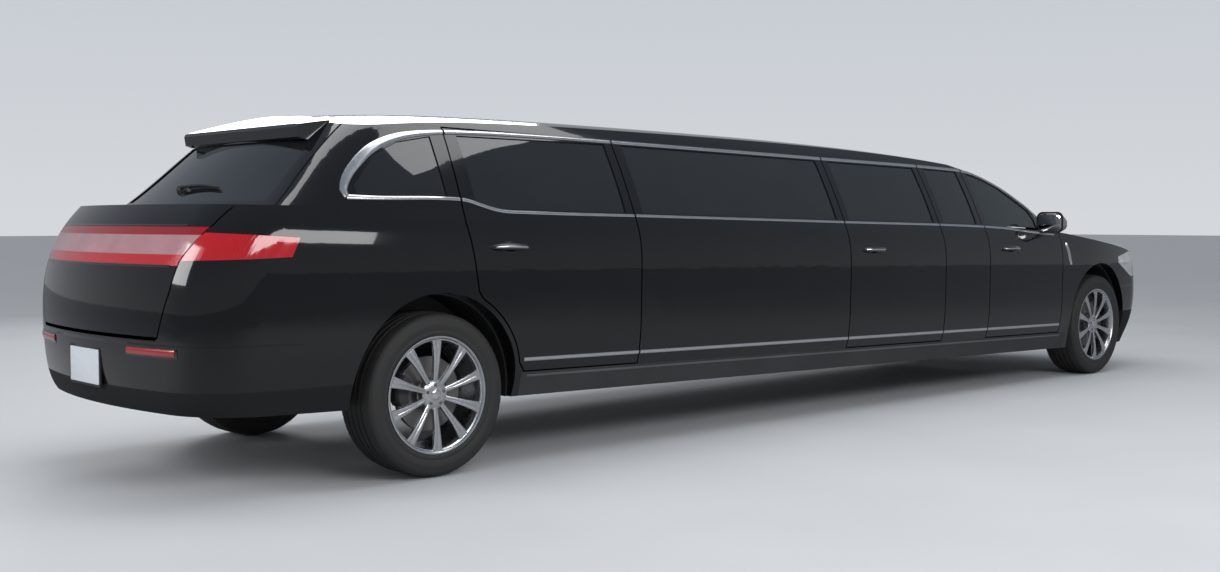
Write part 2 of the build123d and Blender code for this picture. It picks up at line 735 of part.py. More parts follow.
def build_nose():
    """Bonnet, fenders, fascia, grille, headlamps and cowl."""
    hood_prism = plan_space(HOOD_OUTLINE, BONNET_GAP, HOOD_LOW, HIGH)
    hood = (SHELL & hood_prism) - upper_skin(-SCREEN_CLEAR)
    for y in (-BONNET_PIN_Y, BONNET_PIN_Y):
        a, b = y - POCKET_TALL / 2, y + POCKET_TALL / 2
        lug = block(
            BONNET_PIN_X - LUG_BACK, BONNET_PIN_X + LUG_FRONT, a - LUG_WALL, b + LUG_WALL,
            BONNET_PIN_Z - LUG_WALL, LUG_TOP,
        )
        hood = hood + (lug & BONNET_LOW & hood_prism)
        hood = hood - across(BONNET_PIN_X, BONNET_PIN_Z, POCKET_R, a, b)
        hood = hood - block(
            BONNET_PIN_X - HOOD_POCKET_BACK, BONNET_PIN_X + POCKET_R, a, b, HOOD_POCKET_LOW, BONNET_PIN_Z
        )
        hood = hood + across(BONNET_PIN_X, BONNET_PIN_Z, PIN_R, a - LAP, b + LAP)
    save("bonnet", set_down(hood))

    hood_space = plan_space(HOOD_OUTLINE, HAIR, HOOD_LOW, HIGH)
    middle = block(FASCIA_FRONT, NOSE + FAR, -FASCIA_HALF, FASCIA_HALF, 0.0, FASCIA_TOP)
    fascia_space = drawn_in(FASCIA_SIDE, HAIR, -FAR, FAR) + middle
    frame = end_prism(mirrored_outline(GRILLE_OUTLINE), GRILLE_BACK, NOSE + FAR)
    fascia = (SHELL & fascia_space) - hood_space - frame
    fascia = fascia - across(*FRONT_ARCH, ARCH_R, -FAR, FAR)
    save("front_bumper", set_down(fascia))

    lamp_space = drawn_in(LAMP_SIDE, HAIR, FASCIA_HALF, FAR)
    lamp = (SHELL & lamp_space) - hood_space - fascia_space
    save("headlamps", set_down(both(lamp)))

    lattice = frame - cut_back(mirrored_outline(GRILLE_OUTLINE), GRILLE_BORDER, GRILLE_BACK, NOSE + FAR)
    for i in range(GRILLE_BARS):
        y = (i - GRILLE_BARS // 2) * GRILLE_PITCH
        bar = block(
            GRILLE_BACK, NOSE + FAR, y - GRILLE_BAR / 2, y + GRILLE_BAR / 2, GRILLE_LOW, GRILLE_HIGH
        )
        lattice = lattice + (bar & frame)
    lattice = lattice + block(
        GRILLE_BACK, NOSE + FAR, -GRILLE_CROSS_HALF, GRILLE_CROSS_HALF,
        GRILLE_CROSS_Z, GRILLE_CROSS_Z + GRILLE_BAR,
    )
    grille = ((SKIN_INNER - LAMP_INNER) & lattice) & frame
    save("grille", set_down(grille))

    low_crown = under_crown(BONNET_CROWN, BONNET_HALF, BONNET_DROP, COWL_SINK)
    cowl_skin = low_crown - under_crown(BONNET_CROWN, BONNET_HALF, BONNET_DROP, COWL_SINK + COWL_SKIN)
    cowl = cowl_skin & block(COWL_BACK, COWL_FRONT, -COWL_HALF, COWL_HALF, COWL_LOW, HIGH)
    wall = (HOLLOW & block(COWL_BACK, COWL_BACK + COWL_WALL, -FAR, FAR, FLOOR_TOP, WALL_TOP)) & low_crown
    cowl = cowl + wall + hood_arms() - tunnel_space(COWL_BACK - COWL_WALL, COWL_BACK + 2 * COWL_WALL)
    save("cowl", set_down(cowl))

    side = fixed(FENDER_SIDE, hood_space, fascia_space, lamp_space)
    side = side & block(0.0, NOSE + FAR, FENDER_Y, FAR, FENDER_LOW, FENDER_HIGH) & BONNET_FULL
    fender = side + hinge_arms(DOORS[2])
    save("front_fenders", set_down(both(fender)))


STRETCH_PANES = 3
QUARTER_SIDE = [
    (TAIL - 300.0, 0.0), (TAIL - 300.0, DOOR_TOP), (XR + 700.0, DOOR_TOP), (XR + 700.0, SILL_TOP),
    (XR + 500.0, SILL_TOP), (XR + 500.0, 0.0),
]
QUARTER_FRONT = XR + 480.0
QUARTER_LOW = 200.0
LAMP_CORNER_SIDE = [
    (TAIL - 300.0, LAMP_LOW), (TAIL - 300.0, LAMP_HIGH), (XR - 700.0, 952.0), (XR - 740.0, 872.0),
]
BUMPER_TOP = GATE_BOTTOM - SHUT_GAP
BUMPER_SIDE = [
    (TAIL - 300.0, 0.0), (TAIL - 300.0, BUMPER_TOP), (XR - 880.0, BUMPER_TOP),
    (XR - 360.0, 500.0), (XR - 360.0, 0.0),
]
SCREEN_OUTLINE = [(690.0, 1085.0), (725.0, 1140.0), (680.0, 1250.0), (610.0, 1430.0), (590.0, 1456.0)]
SCREEN_BACK = XR + 4400.0


def stretch_outline(x0, x1):
    """The side view of a fixed panel between two upright seams."""
    return [(x0, SILL_TOP), (x0, DOOR_TOP), (x1, DOOR_TOP), (x1, SILL_TOP)]


def build_sides():
    """Roof, windscreen frame, quarter panels and the panels of the stretch."""
    door_arms = {door.name: hinge_arms(door) for door in DOORS}
    whole = stretch_outline(X_REAR_DOOR, X_FRONT_DOOR)
    span = (X_FRONT_DOOR - X_REAR_DOOR) / STRETCH_PANES
    thirds = [X_REAR_DOOR + span * i for i in range(STRETCH_PANES + 1)]
    left = fixed(whole) + door_arms["rear_door"]
    left_glass = []
    for a, b in zip(thirds, thirds[1:]):
        left = left - side_prism(window(a, b), ROOM_Y, FAR)
        left_glass.append(sheet(window(a, b)))
    rear = stretch_outline(X_REAR_DOOR, X_MID_DOOR)
    ahead = stretch_outline(X_MID_DOOR_END, X_FRONT_DOOR)
    right_rear = fixed(rear) + door_arms["rear_door"]
    right_rear = right_rear - side_prism(window(X_REAR_DOOR, X_MID_DOOR), ROOM_Y, FAR)
    right_front = fixed(ahead) + door_arms["middle_door"]
    right_front = right_front - side_prism(window(X_MID_DOOR_END, X_FRONT_DOOR), ROOM_Y, FAR)
    right_glass = [
        sheet(window(X_REAR_DOOR, X_MID_DOOR)),
        sheet(window(X_MID_DOOR_END, X_FRONT_DOOR)),
    ]
    save("stretch_panel_left", set_down(left))
    save("stretch_panel_right_rear", set_down(twin(right_rear)))
    save("stretch_panel_right_front", set_down(twin(right_front)))
    panes = [*left_glass, *[twin(g) for g in right_glass]]
    save("stretch_glass", set_down(Compound([s for p in panes for s in p.solids()])))

    # Quarter panels reach from the rear door round the arch to the tailgate and the bumper
    bumper_space = side_prism(BUMPER_SIDE, -FAR, FAR)
    door_space = drawn_in(DOORS[0].outline, -SEAM / 2, -FAR, FAR)
    door_space = door_space - across(*REAR_ARCH, ARCH_R + ARCH_LIP, -FAR, FAR)
    quarter_pane = side_prism(QUARTER_WINDOW, ROOM_Y, FAR)
    quarter = fixed(QUARTER_SIDE, GATE_SPACE, bumper_space, door_space, quarter_pane)
    quarter = quarter & block(TAIL - FAR, QUARTER_FRONT, 0.0, FAR, QUARTER_LOW, DOOR_TOP)
    quarter = quarter - block(SILL_REAR - SEAM, XF, 0.0, FAR, 0.0, SILL_TOP)
    wedge = side_prism(LAMP_CORNER_SIDE, ROOM_Y, FAR) & LAMP_RIND
    corner = quarter & wedge
    quarter = quarter - wedge
    save("quarter_panels", set_down(both(quarter)))
    save("tail_lamp_corners", set_down(both(corner)))
    save("quarter_glass", set_down(both(sheet(QUARTER_WINDOW))))
    bumper = (SHELL & side_prism(BUMPER_SIDE, -FAR, FAR)) - across(*REAR_ARCH, ARCH_R, -FAR, FAR)
    bumper = bumper & block(TAIL - FAR, XR, -FAR, FAR, 0.0, GATE_BOTTOM)
    save("rear_bumper", set_down(bumper))

    # Roof with its rails, and the frame of the windscreen
    roof = SHELL & block(TAIL - FAR, NOSE, -FAR, FAR, DOOR_TOP + SEAM, HIGH)
    save("roof", set_down(roof - GATE_SPACE + gate_hinge_arms()))
    opening = mirrored_outline(SCREEN_OUTLINE)
    behind_a = side_prism([*A_LINE[:6], (X_FENDER, 0.0), (XR, 0.0), (XR, DOOR_TOP)], -FAR, FAR)
    bonnet_space = under_crown(BONNET_CROWN, BONNET_HALF, BONNET_DROP, -SEAM)
    frame = (OUTER - upper_skin(FRAME_WALL)) & block(SCREEN_BACK, NOSE, -FAR, FAR, BELT, DOOR_TOP)
    frame = frame - behind_a - end_prism(opening, XR, NOSE + FAR)
    frame = (frame & upper_skin(0.0)) - bonnet_space
    save("windscreen_frame", set_down(frame))
    screen = (GLASS & cut_back(opening, SEAM, SCREEN_BACK, NOSE + FAR)) - bonnet_space
    save("windscreen", set_down(screen))


# Underbody
RAIL_Y = (390.0, 450.0)
RAIL_Z = (430.0, 500.0)
REAR_FLOOR_Z = (440.0, 480.0)
REAR_FLOOR_HALF = 600.0
REAR_FLOOR_LAP = 60.0  # of the rear floor over the front one
RISER_WALL = 40.0
SILL_IN = 963.0 - DOOR_WALL
SILL_WALL = 60.0
TUNNEL_WALL = 40.0
TUNNEL_SKIN = 35.0
RISER_BITE = 10.0
RAIL_LAP = 40.0
RAIL_FOOT = 20.0
RAIL_END = XF + 820.0
RAIL_DROP = 30.0
CROSS_Z = (330.0, 400.0)
CROSS_HALF = 60.0
POST_HALF = 40.0
FRONT_CROSS_WALL = 50.0
FRONT_CROSS_TOP = 800.0
ENGINE_X = (XF - 300.0, XF + 330.0)
ENGINE_HALF = 260.0
ENGINE_TOP = 860.0
ENGINE_DROP = 20.0
EAR_INSET = 50.0
HOUSING_OUT = 873.0
LINER_GAP = 1.0
HOUSING_FOOT = 60.0
SHAFT_HALF = 170.0
SHAFT_DROP = 100.0


def build_underbody():
    """Floor tray with sills, rear floor, rails and wheel housings."""
    low = stack(LOWER, 0.0, 0.0, 0.0, LOWER_TAIL, LOWER_NOSE)
    wall = DOOR_WALL + SEAM
    inner_low = stack(LOWER, wall, wall, wall, LOWER_TAIL, LOWER_NOSE)
    x0, x1 = SILL_REAR, SILL_FRONT - SEAM
    a, b = x0 - LAP, x1 + LAP
    under = SILL_IN - SILL_WALL
    bore = TUNNEL_HALF - TUNNEL_WALL
    half = REAR_FLOOR_HALF
    deck_end = x0 + REAR_FLOOR_LAP
    tray = low & block(x0, x1, -FAR, FAR, BOTTOM, SILL_TOP - SEAM)
    tray = tray - block(a, b, -SILL_IN, SILL_IN, FLOOR_TOP, SILL_TOP + LAP)
    tray = tray - block(a, b, -under, under, BOTTOM - LAP, FLOOR_TOP - FLOOR_WALL)
    tray = tray + block(x0, x1, -TUNNEL_HALF, TUNNEL_HALF, FLOOR_TOP - FLOOR_WALL, TUNNEL_TOP)
    tray = tray - block(a, b, -bore, bore, BOTTOM - LAP, TUNNEL_TOP - TUNNEL_SKIN)
    deck = block(TAIL, deck_end, -half, half, *REAR_FLOOR_Z) & inner_low
    riser = block(deck_end - RISER_WALL, deck_end, -half, half, FLOOR_TOP - RISER_BITE, REAR_FLOOR_Z[1])
    save("floor_pan", set_down(tray + deck + riser))

    with BuildPart() as rails:
        for s in (-1, 1):
            y0, y1 = sorted((s * RAIL_Y[0], s * RAIL_Y[1]))
            add(block(x1 - RAIL_LAP, RAIL_END, y0, y1, *RAIL_Z))
            add(block(x1 - RAIL_LAP, x1 + RAIL_FOOT, y0, y1, FLOOR_TOP - RAIL_DROP, RAIL_Z[0]))
            add(block(XF - POST_HALF, XF + POST_HALF, y0, y1, CROSS_Z[1], RAIL_Z[0]))
        add(block(XF - CROSS_HALF, XF + CROSS_HALF, -RAIL_Y[1], RAIL_Y[1], *CROSS_Z))
        add(block(RAIL_END - FRONT_CROSS_WALL, RAIL_END, -RAIL_Y[1], RAIL_Y[1], RAIL_Z[0], FRONT_CROSS_TOP))
    floor_cut = block(XR, SILL_FRONT, -FAR, FAR, 0, FLOOR_TOP)
    save("front_rails", set_down(rails.part - floor_cut))
    ears = RAIL_Y[0] - SEAM
    engine = block(*ENGINE_X, -ENGINE_HALF, ENGINE_HALF, RAIL_Z[0] - ENGINE_DROP, ENGINE_TOP)
    engine = engine + block(ENGINE_X[0] + EAR_INSET, ENGINE_X[1] - EAR_INSET, -ears, ears, *RAIL_Z)
    save("engine", set_down(engine))

    liners = []
    skin = ARCH_R - LINER_GAP
    for (x, z), y0 in ((REAR_ARCH, LINER_Y_REAR), (FRONT_ARCH, LINER_Y_FRONT)):
        y1 = y0 + LINER_WALL
        ring = across(x, z, skin, y0, HOUSING_OUT) - across(x, z, skin - LINER_WALL, y1, HOUSING_OUT + LAP)
        ring = ring & block(x - FAR, x + FAR, 0, FAR, z - HOUSING_FOOT, z + FAR)
        ring = ring - block(x - SHAFT_HALF, x + SHAFT_HALF, 0.0, y1 + LAP, z - SHAFT_DROP, z + SHAFT_HALF)
        liners.append(ring)
    save("wheel_housings", set_down(both(Compound([s for r in liners for s in r.solids()]))))


# Wheels
SHOULDER_IN = 26.0
SHOULDER_DROP = 34.0
BEAD_IN = 12.0
FLANGE_IN = 9.0  # how far the rim's edge stands inside the tyre's wall
RIM_LIP = 12.0


def tyre(x, side):
    """A tyre as a ring with a flat tread, sloped shoulders and bulged walls."""
    y = side * TYRE_Y
    with BuildPart() as solid:
        with BuildSketch(Plane(origin=(x, y, TYRE_R), x_dir=(0, side, 0), z_dir=(1, 0, 0))):
            with BuildLine():
                Polyline(
                    (SHOULDER_IN - TYRE_HALF, TYRE_R), (TYRE_HALF - SHOULDER_IN, TYRE_R),
                    (TYRE_HALF, TYRE_R - SHOULDER_DROP), (TYRE_HALF - BEAD_IN, RIM_R + SEAM),
                    (BEAD_IN - TYRE_HALF, RIM_R + SEAM), (-TYRE_HALF, TYRE_R - SHOULDER_DROP), close=True,
                )
            make_face()
        revolve(axis=Axis((x, y, TYRE_R), (0, 1, 0)))
    return solid.part


SPOKE_FACE = 112.0  # outboard from the tyre's middle
SPOKE_WALL = 26.0
SPOKE_ROOT = HUB_R - 14.0
SPOKE_TIP = BARREL_R + 6.0
SPOKE_NARROW = 24.0  # width at the hub
SPOKE_WIDE = 50.0  # width at the barrel
DISC_FACE = 40.0
BORE_R = AXLE_R + RUNNING
HUB_BACK = SPOKE_FACE - 50.0
HUB_DISH = SPOKE_FACE - 12.0
HUB_EDGE = SPOKE_FACE - 18.0
CAP_R = HUB_R - 30.0
BELL_WALL = 8.0


def rim(x, side):
    """A barrel, ten tapered spokes, a hub and a brake disc."""
    y = side * TYRE_Y
    flange = TYRE_HALF - FLANGE_IN
    bell = DISC_FACE - BELL_WALL
    frame_plane = Plane(origin=(x, y, TYRE_R), x_dir=(0, side, 0), z_dir=(1, 0, 0))
    hub_axis = Axis((x, y, TYRE_R), (0, 1, 0))
    with BuildPart() as solid:
        with BuildSketch(frame_plane):
            with BuildLine():
                Polyline(
                    (flange, RIM_R - RIM_LIP), (flange, RIM_R), (-flange, RIM_R), (-flange, RIM_R - RIM_LIP),
                    (RIM_LIP - flange, BARREL_R), (flange - RIM_LIP, BARREL_R), close=True,
                )
            make_face()
        revolve(axis=hub_axis)
        with BuildSketch(frame_plane):
            with BuildLine():
                Polyline(
                    (HUB_BACK, BORE_R), (HUB_DISH, BORE_R), (HUB_DISH, CAP_R),
                    (HUB_EDGE, HUB_R), (HUB_BACK, HUB_R), close=True,
                )
            make_face()
        revolve(axis=hub_axis)
        face = Plane(origin=(x, y + side * SPOKE_FACE, TYRE_R), x_dir=(1, 0, 0), z_dir=(0, side, 0))
        with BuildSketch(face.offset(-SPOKE_WALL)):
            with PolarLocations(0, SPOKES):
                with BuildLine(mode=Mode.PRIVATE) as edge:
                    Polyline(
                        (SPOKE_ROOT, -SPOKE_NARROW / 2), (SPOKE_TIP, -SPOKE_WIDE / 2),
                        (SPOKE_TIP, SPOKE_WIDE / 2), (SPOKE_ROOT, SPOKE_NARROW / 2), close=True,
                    )
                add(make_face(edge.edges(), mode=Mode.PRIVATE))
        extrude(amount=SPOKE_WALL)
    with BuildPart() as disc:
        with BuildSketch(frame_plane):
            with BuildLine():
                Polyline(
                    (DISC_FACE, BORE_R), (DISC_FACE, DISC_R), (DISC_FACE - DISC_WALL, DISC_R),
                    (DISC_FACE - DISC_WALL, HUB_R), (bell, HUB_R), (bell, BORE_R), close=True,
                )
            make_face()
            with BuildLine():
                Polyline(
                    (bell, BORE_R), (HUB_BACK, BORE_R), (HUB_BACK, SPOKE_ROOT), (bell, SPOKE_ROOT),
                    close=True,
                )
            make_face()
        revolve(axis=hub_axis)
    return solid.part + disc.part


SPINDLE_END = SPOKE_FACE - 20.0
KNUCKLE_FACE = DISC_FACE - DISC_WALL - 6.0
STUB_IN = TYRE_Y - KINGPIN_Y  # from the tyre's middle in to the kingpin
HUB_CARRIER_R = 58.0
CARRIER_IN = 30.0
POST_LONG = 56.0
POST_WIDE = 52.0
BALL_SPACE_R = 40.0
BALL_SPACE_HALF = 18.0
BALL_LAP = 0.5
STEER_ARM_X = (XF - 150.0, XF - 20.0)
STEER_ARM_Z = (TYRE_R - 40.0, TYRE_R - 15.0)
STEER_ARM_WIDE = 40.0


def knuckle(side):
    """A front knuckle: the spindle, the upright with its ball joints, and a steering arm."""
    y = side * TYRE_Y
    king = side * KINGPIN_Y
    wheel_plane = Plane(origin=(XF, y, TYRE_R), x_dir=(1, 0, 0), z_dir=(0, side, 0))
    with BuildPart() as solid:
        with BuildSketch(wheel_plane.offset(-STUB_IN - CARRIER_IN)):
            Circle(HUB_CARRIER_R)
        extrude(amount=STUB_IN + CARRIER_IN + KNUCKLE_FACE)
        with BuildSketch(wheel_plane.offset(-STUB_IN)):
            Circle(AXLE_R)
        extrude(amount=STUB_IN + SPINDLE_END)
        with BuildSketch(Plane.XY.offset(TYRE_R - BALL_RISE)):
            with Locations((XF, king)):
                Rectangle(POST_LONG, POST_WIDE)
        extrude(amount=2 * BALL_RISE)
    post = solid.part
    for z in (TYRE_R - BALL_RISE, TYRE_R + BALL_RISE):
        low, high = z - BALL_SPACE_HALF, z + BALL_SPACE_HALF
        post = post - upright(XF, king, BALL_SPACE_R, low, high)
        post = post + upright(XF, king, KINGPIN_R, low - BALL_LAP, high + BALL_LAP)
    y0, y1 = sorted((king, king - side * STEER_ARM_WIDE))
    return post + block(*STEER_ARM_X, y0, y1, *STEER_ARM_Z)


LINK_WALL = 28.0
LINK_EYE_R = 30.0
LINK_EYE_HALF = 22.0
LINK_ROOT_BITE = 10.0
LINK_ROOT_IN = 70.0
LINK_ROOT_OUT = 130.0
LINK_CROTCH = 70.0


def front_arms(side):
    """Upper and lower links from the rails to the kingpin."""
    king = side * KINGPIN_Y
    root = side * (RAIL_Y[1] - LINK_ROOT_BITE)
    solids = []
    for z in (TYRE_R - BALL_RISE, TYRE_R + BALL_RISE):
        with BuildPart() as link:
            with BuildSketch(Plane.XY.offset(z - LINK_WALL / 2)):
                with Locations((XF, king)):
                    Circle(LINK_EYE_R)
                with BuildLine():
                    Polyline(
                        (XF - LINK_EYE_HALF, king), (XF - LINK_ROOT_OUT, root), (XF - LINK_ROOT_IN, root),
                        (XF, king - side * LINK_CROTCH), (XF + LINK_ROOT_IN, root),
                        (XF + LINK_ROOT_OUT, root), (XF + LINK_EYE_HALF, king), close=True,
                    )
                make_face()
                with Locations((XF, king)):
                    Circle(KINGPIN_R + RUNNING, mode=Mode.SUBTRACT)
            extrude(amount=LINK_WALL)
        solids.append(link.part)
    return solids


TUBE_R = 42.0
TUBE_HALF = 700.0
AXLE_FLANGE_R = 60.0
AXLE_FLANGE_Y = 690.0
DIFFERENTIAL_R = 120.0
TRAILING_Y = (520.0, 570.0)
TRAILING_X = (XR - 20.0, XR + 520.0)
TRAILING_Z = (TYRE_R - 40.0, TYRE_R + 20.0)
SPRING_HALF = 60.0
SPRING_TALL = 250.0


def rear_axle():
    """A tubular axle with a differential, flanged spindles and two trailing arms."""
    with BuildPart() as solid:
        with BuildSketch(Plane(origin=(XR, -TUBE_HALF, TYRE_R), x_dir=(1, 0, 0), z_dir=(0, 1, 0))):
            Circle(TUBE_R)
        extrude(amount=2 * TUBE_HALF)
        for side in (-1, 1):
            flange = Plane(origin=(XR, side * AXLE_FLANGE_Y, TYRE_R), x_dir=(1, 0, 0), z_dir=(0, side, 0))
            with BuildSketch(flange):
                Circle(AXLE_FLANGE_R)
            extrude(amount=TYRE_Y + KNUCKLE_FACE - AXLE_FLANGE_Y)
            with BuildSketch(flange):
                Circle(AXLE_R)
            extrude(amount=TYRE_Y + SPINDLE_END - AXLE_FLANGE_Y)
        with Locations((XR, 0, TYRE_R)):
            Sphere(DIFFERENTIAL_R)
    whole = solid.part
    for side in (-1, 1):
        y0, y1 = sorted((side * TRAILING_Y[0], side * TRAILING_Y[1]))
        whole = whole + block(*TRAILING_X, y0, y1, *TRAILING_Z)
        whole = whole + block(XR - SPRING_HALF, XR + SPRING_HALF, y0, y1, TYRE_R, TYRE_R + SPRING_TALL)
    return whole


RAIL_ZONE_HALF = 400.0
TRAY_ZONE_LAP = 60.0


def build_running_gear():
    """Tyres, rims, knuckles, links and the rear axle."""
    for side, hand in ((1, "left"), (-1, "right")):
        for x, end in ((XF, "front"), (XR, "rear")):
            save(f"tyre_{end}_{hand}", tyre(x, side))
            save(f"rim_{end}_{hand}", rim(x, side))
        save(f"knuckle_{hand}", knuckle(side))
    rails_zone = set_down(block(XF - RAIL_ZONE_HALF, XF + RAIL_ZONE_HALF, -RAIL_Y[1], RAIL_Y[1], *RAIL_Z))
    links = [link - rails_zone for side in (1, -1) for link in front_arms(side)]
    save("front_links", Compound([s for p in links for s in p.solids()]))
    floor_zone = set_down(block(TAIL, XF, -FAR, FAR, REAR_FLOOR_Z[0], FAR))
    under_tray = set_down(block(SILL_REAR - TRAY_ZONE_LAP, XF, -FAR, FAR, FLOOR_TOP - FLOOR_WALL, FAR))
    save("rear_axle", rear_axle() - floor_zone - under_tray)


# Cabin
SEAT_TOP = 615.0
BACK_FOOT = 560.0
FRONT_SEAT_X = XR + 4700.0
FRONT_SEAT_LONG = 520.0
FRONT_SEAT_Y = 380.0
FRONT_SEAT_HALF = 250.0
FRONT_BACK_HALF = 240.0
FRONT_BACK_SIDE = [
    (FRONT_SEAT_X + 110.0, BACK_FOOT), (FRONT_SEAT_X - 60.0, 1180.0),
    (FRONT_SEAT_X + 50.0, 1180.0), (FRONT_SEAT_X + 230.0, BACK_FOOT),
]
BENCH_X = (XR + 640.0, XR + 1180.0)
BENCH_HALF = 700.0
BENCH_TOP = 625.0
BENCH_BACK_SIDE = [
    (XR + 700.0, BACK_FOOT), (XR + 560.0, 1120.0), (XR + 690.0, 1120.0), (XR + 830.0, BACK_FOOT),
]
SOFA_X = (BENCH_X[1] + SEAM, XR + 3600.0)
SOFA_Y = (330.0, 780.0)
SOFA_BACK_Y = 680.0
SOFA_BACK_TOP = 1030.0
DIVIDER_X = (XR + 4200.0, XR + 4240.0)
DIVIDER_HALF = 860.0
DIVIDER_TOP = 1300.0
DIVIDER_GAP = 6.0
HATCH_HALF = 420.0
HATCH_LOW = 820.0
DASH_FRONT = COWL_BACK - 2 * SEAM
DASH_SIDE = [
    (DASH_FRONT, 620.0), (DASH_FRONT, 1040.0), (XF - 640.0, 1060.0), (XF - 830.0, 1010.0),
    (XF - 860.0, 930.0), (XF - 800.0, 700.0), (XF - 700.0, 620.0),
]
DASH_HALF = 780.0
COLUMN_TILT = 25.0
COLUMN_R = 20.0
COLUMN_LONG = 70.0
COLUMN_BORE = 400.0
HELM_AT = (XF - 900.0, 380.0, 960.0)
HELM_R = 182.0
HELM_RING = 26.0
HELM_HUB_R = 62.0
HELM_SPOKE = (330.0, 34.0)


def build_seats():
    """Two front seats, the rear bench and the sofa along the left side."""
    seats = []
    for y in (-FRONT_SEAT_Y, FRONT_SEAT_Y):
        base = block(
            FRONT_SEAT_X, FRONT_SEAT_X + FRONT_SEAT_LONG, y - FRONT_SEAT_HALF, y + FRONT_SEAT_HALF,
            TUNNEL_TOP + SEAM, SEAT_TOP,
        )
        seats.append(base + side_prism(FRONT_BACK_SIDE, y - FRONT_BACK_HALF, y + FRONT_BACK_HALF))
    save("front_seats", set_down(Compound([s for p in seats for s in p.solids()])))
    bench = block(*BENCH_X, -BENCH_HALF, BENCH_HALF, TUNNEL_TOP + SEAM, BENCH_TOP)
    bench = bench + side_prism(BENCH_BACK_SIDE, -BENCH_HALF, BENCH_HALF)
    sofa = block(*SOFA_X, *SOFA_Y, FLOOR_TOP + SEAM, BENCH_TOP)
    sofa = sofa + block(*SOFA_X, SOFA_BACK_Y, SOFA_Y[1], BENCH_TOP, SOFA_BACK_TOP)
    save("lounge_seats", set_down(Compound([*bench.solids(), *sofa.solids()])))


def build_cabin():
    """The divider behind the driver, the dashboard and the steering wheel."""
    low = stack(LOWER, DOOR_WALL + DIVIDER_GAP, 0, 0, LOWER_TAIL, LOWER_NOSE)
    wall = HOLLOW & block(*DIVIDER_X, -DIVIDER_HALF, DIVIDER_HALF, FLOOR_TOP + SEAM, DIVIDER_TOP)
    wall = (wall & low) + (wall & upper_skin(FRAME_WALL + DIVIDER_GAP))
    a, b = DIVIDER_X[0] - LAP, DIVIDER_X[1] + LAP
    wall = wall - block(a, b, -HATCH_HALF, HATCH_HALF, HATCH_LOW, DIVIDER_TOP + LAP)
    save("divider", set_down(wall - tunnel_space(a, b)))
    tilt = math.radians(COLUMN_TILT)
    column = Plane(origin=HELM_AT, x_dir=(0, 1, 0), z_dir=(-math.cos(tilt), 0, math.sin(tilt)))
    with BuildPart() as helm:
        with BuildSketch(column):
            Circle(HELM_R)
            Circle(HELM_R - HELM_RING, mode=Mode.SUBTRACT)
            Rectangle(*HELM_SPOKE)
            Circle(HELM_HUB_R)
        extrude(amount=HELM_RING)
        with BuildSketch(column.offset(-COLUMN_LONG)):
            Circle(COLUMN_R)
        extrude(amount=COLUMN_LONG)
    with BuildPart() as bore:
        with BuildSketch(column.offset(-COLUMN_BORE)):
            Circle(COLUMN_R + RUNNING)
        extrude(amount=COLUMN_BORE)
    save("steering_wheel", helm.part)
    dash = set_down(side_prism(DASH_SIDE, -DASH_HALF, DASH_HALF) & low)
    save("dashboard", dash - bore.part)


# Door mirrors: one rounded rectangle at the glass and a smaller one ahead of it
MirrorEnd = namedtuple("MirrorEnd", "x y z wide tall corner")
MIRROR_ENDS = (
    MirrorEnd(XR + 5215.0, 985.0, 1120.0, 205.0, 150.0, 45.0),
    MirrorEnd(XR + 5330.0, 980.0, 1112.0, 150.0, 95.0, 40.0),
)
MIRROR_FOOT_X = (XR + 5240.0, XR + 5320.0)
MIRROR_FOOT_Y = (860.0, 930.0)
MIRROR_FOOT_Z = (1062.0, 1092.0)


def build_mirrors():
    """Door mirrors on their feet."""
    with BuildPart() as head:
        for end in MIRROR_ENDS:
            with BuildSketch(Plane.YZ.offset(end.x)):
                with Locations((end.y, end.z)):
                    RectangleRounded(end.wide, end.tall, end.corner)
        loft()
    piece = head.part + block(*MIRROR_FOOT_X, *MIRROR_FOOT_Y, *MIRROR_FOOT_Z) - OUTER
    best = max(piece.solids(), key=lambda s: s.volume)
    save("mirror_left", set_down(best))
    save("mirror_right", set_down(twin(best)))


JOBS = (
    build_doors, build_tailgate, build_nose, build_sides,
    build_underbody, build_running_gear, build_seats, build_cabin, build_mirrors,
)

if __name__ == "__main__":
    os.makedirs("parts", exist_ok=True)
    for job in JOBS:
        job()
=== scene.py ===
"""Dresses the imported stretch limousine: paint, glass, brightwork, lamps, wheels and a furnished cabin.

Metres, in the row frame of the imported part: +X forward, +Y to the left, +Z up.  Sizes that belong to the
bodywork are given in the level frame of the body and set down on the wheels by Rake.
"""

from __future__ import annotations

import json
import logging
import math
from collections.abc import Callable, Iterable, Sequence
from dataclasses import dataclass
from enum import Enum

import bmesh
import bpy
from mathutils import Matrix, Vector
from mathutils.bvhtree import BVHTree

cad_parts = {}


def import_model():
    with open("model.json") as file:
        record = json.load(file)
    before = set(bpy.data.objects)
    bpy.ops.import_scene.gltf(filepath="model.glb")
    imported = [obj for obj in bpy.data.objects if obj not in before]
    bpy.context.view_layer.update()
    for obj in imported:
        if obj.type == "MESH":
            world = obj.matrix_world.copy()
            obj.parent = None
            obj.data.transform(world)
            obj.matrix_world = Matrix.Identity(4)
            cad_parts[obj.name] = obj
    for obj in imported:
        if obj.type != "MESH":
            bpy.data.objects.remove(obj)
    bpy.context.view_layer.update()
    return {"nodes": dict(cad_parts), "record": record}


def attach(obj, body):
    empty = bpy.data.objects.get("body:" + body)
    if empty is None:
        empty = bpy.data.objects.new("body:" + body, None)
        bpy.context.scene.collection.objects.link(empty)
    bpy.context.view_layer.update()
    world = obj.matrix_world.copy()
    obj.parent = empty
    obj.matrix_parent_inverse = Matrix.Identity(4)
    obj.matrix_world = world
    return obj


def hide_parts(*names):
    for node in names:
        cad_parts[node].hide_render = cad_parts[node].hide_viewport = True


LOG = logging.getLogger("limousine")
TURN = 2 * math.pi
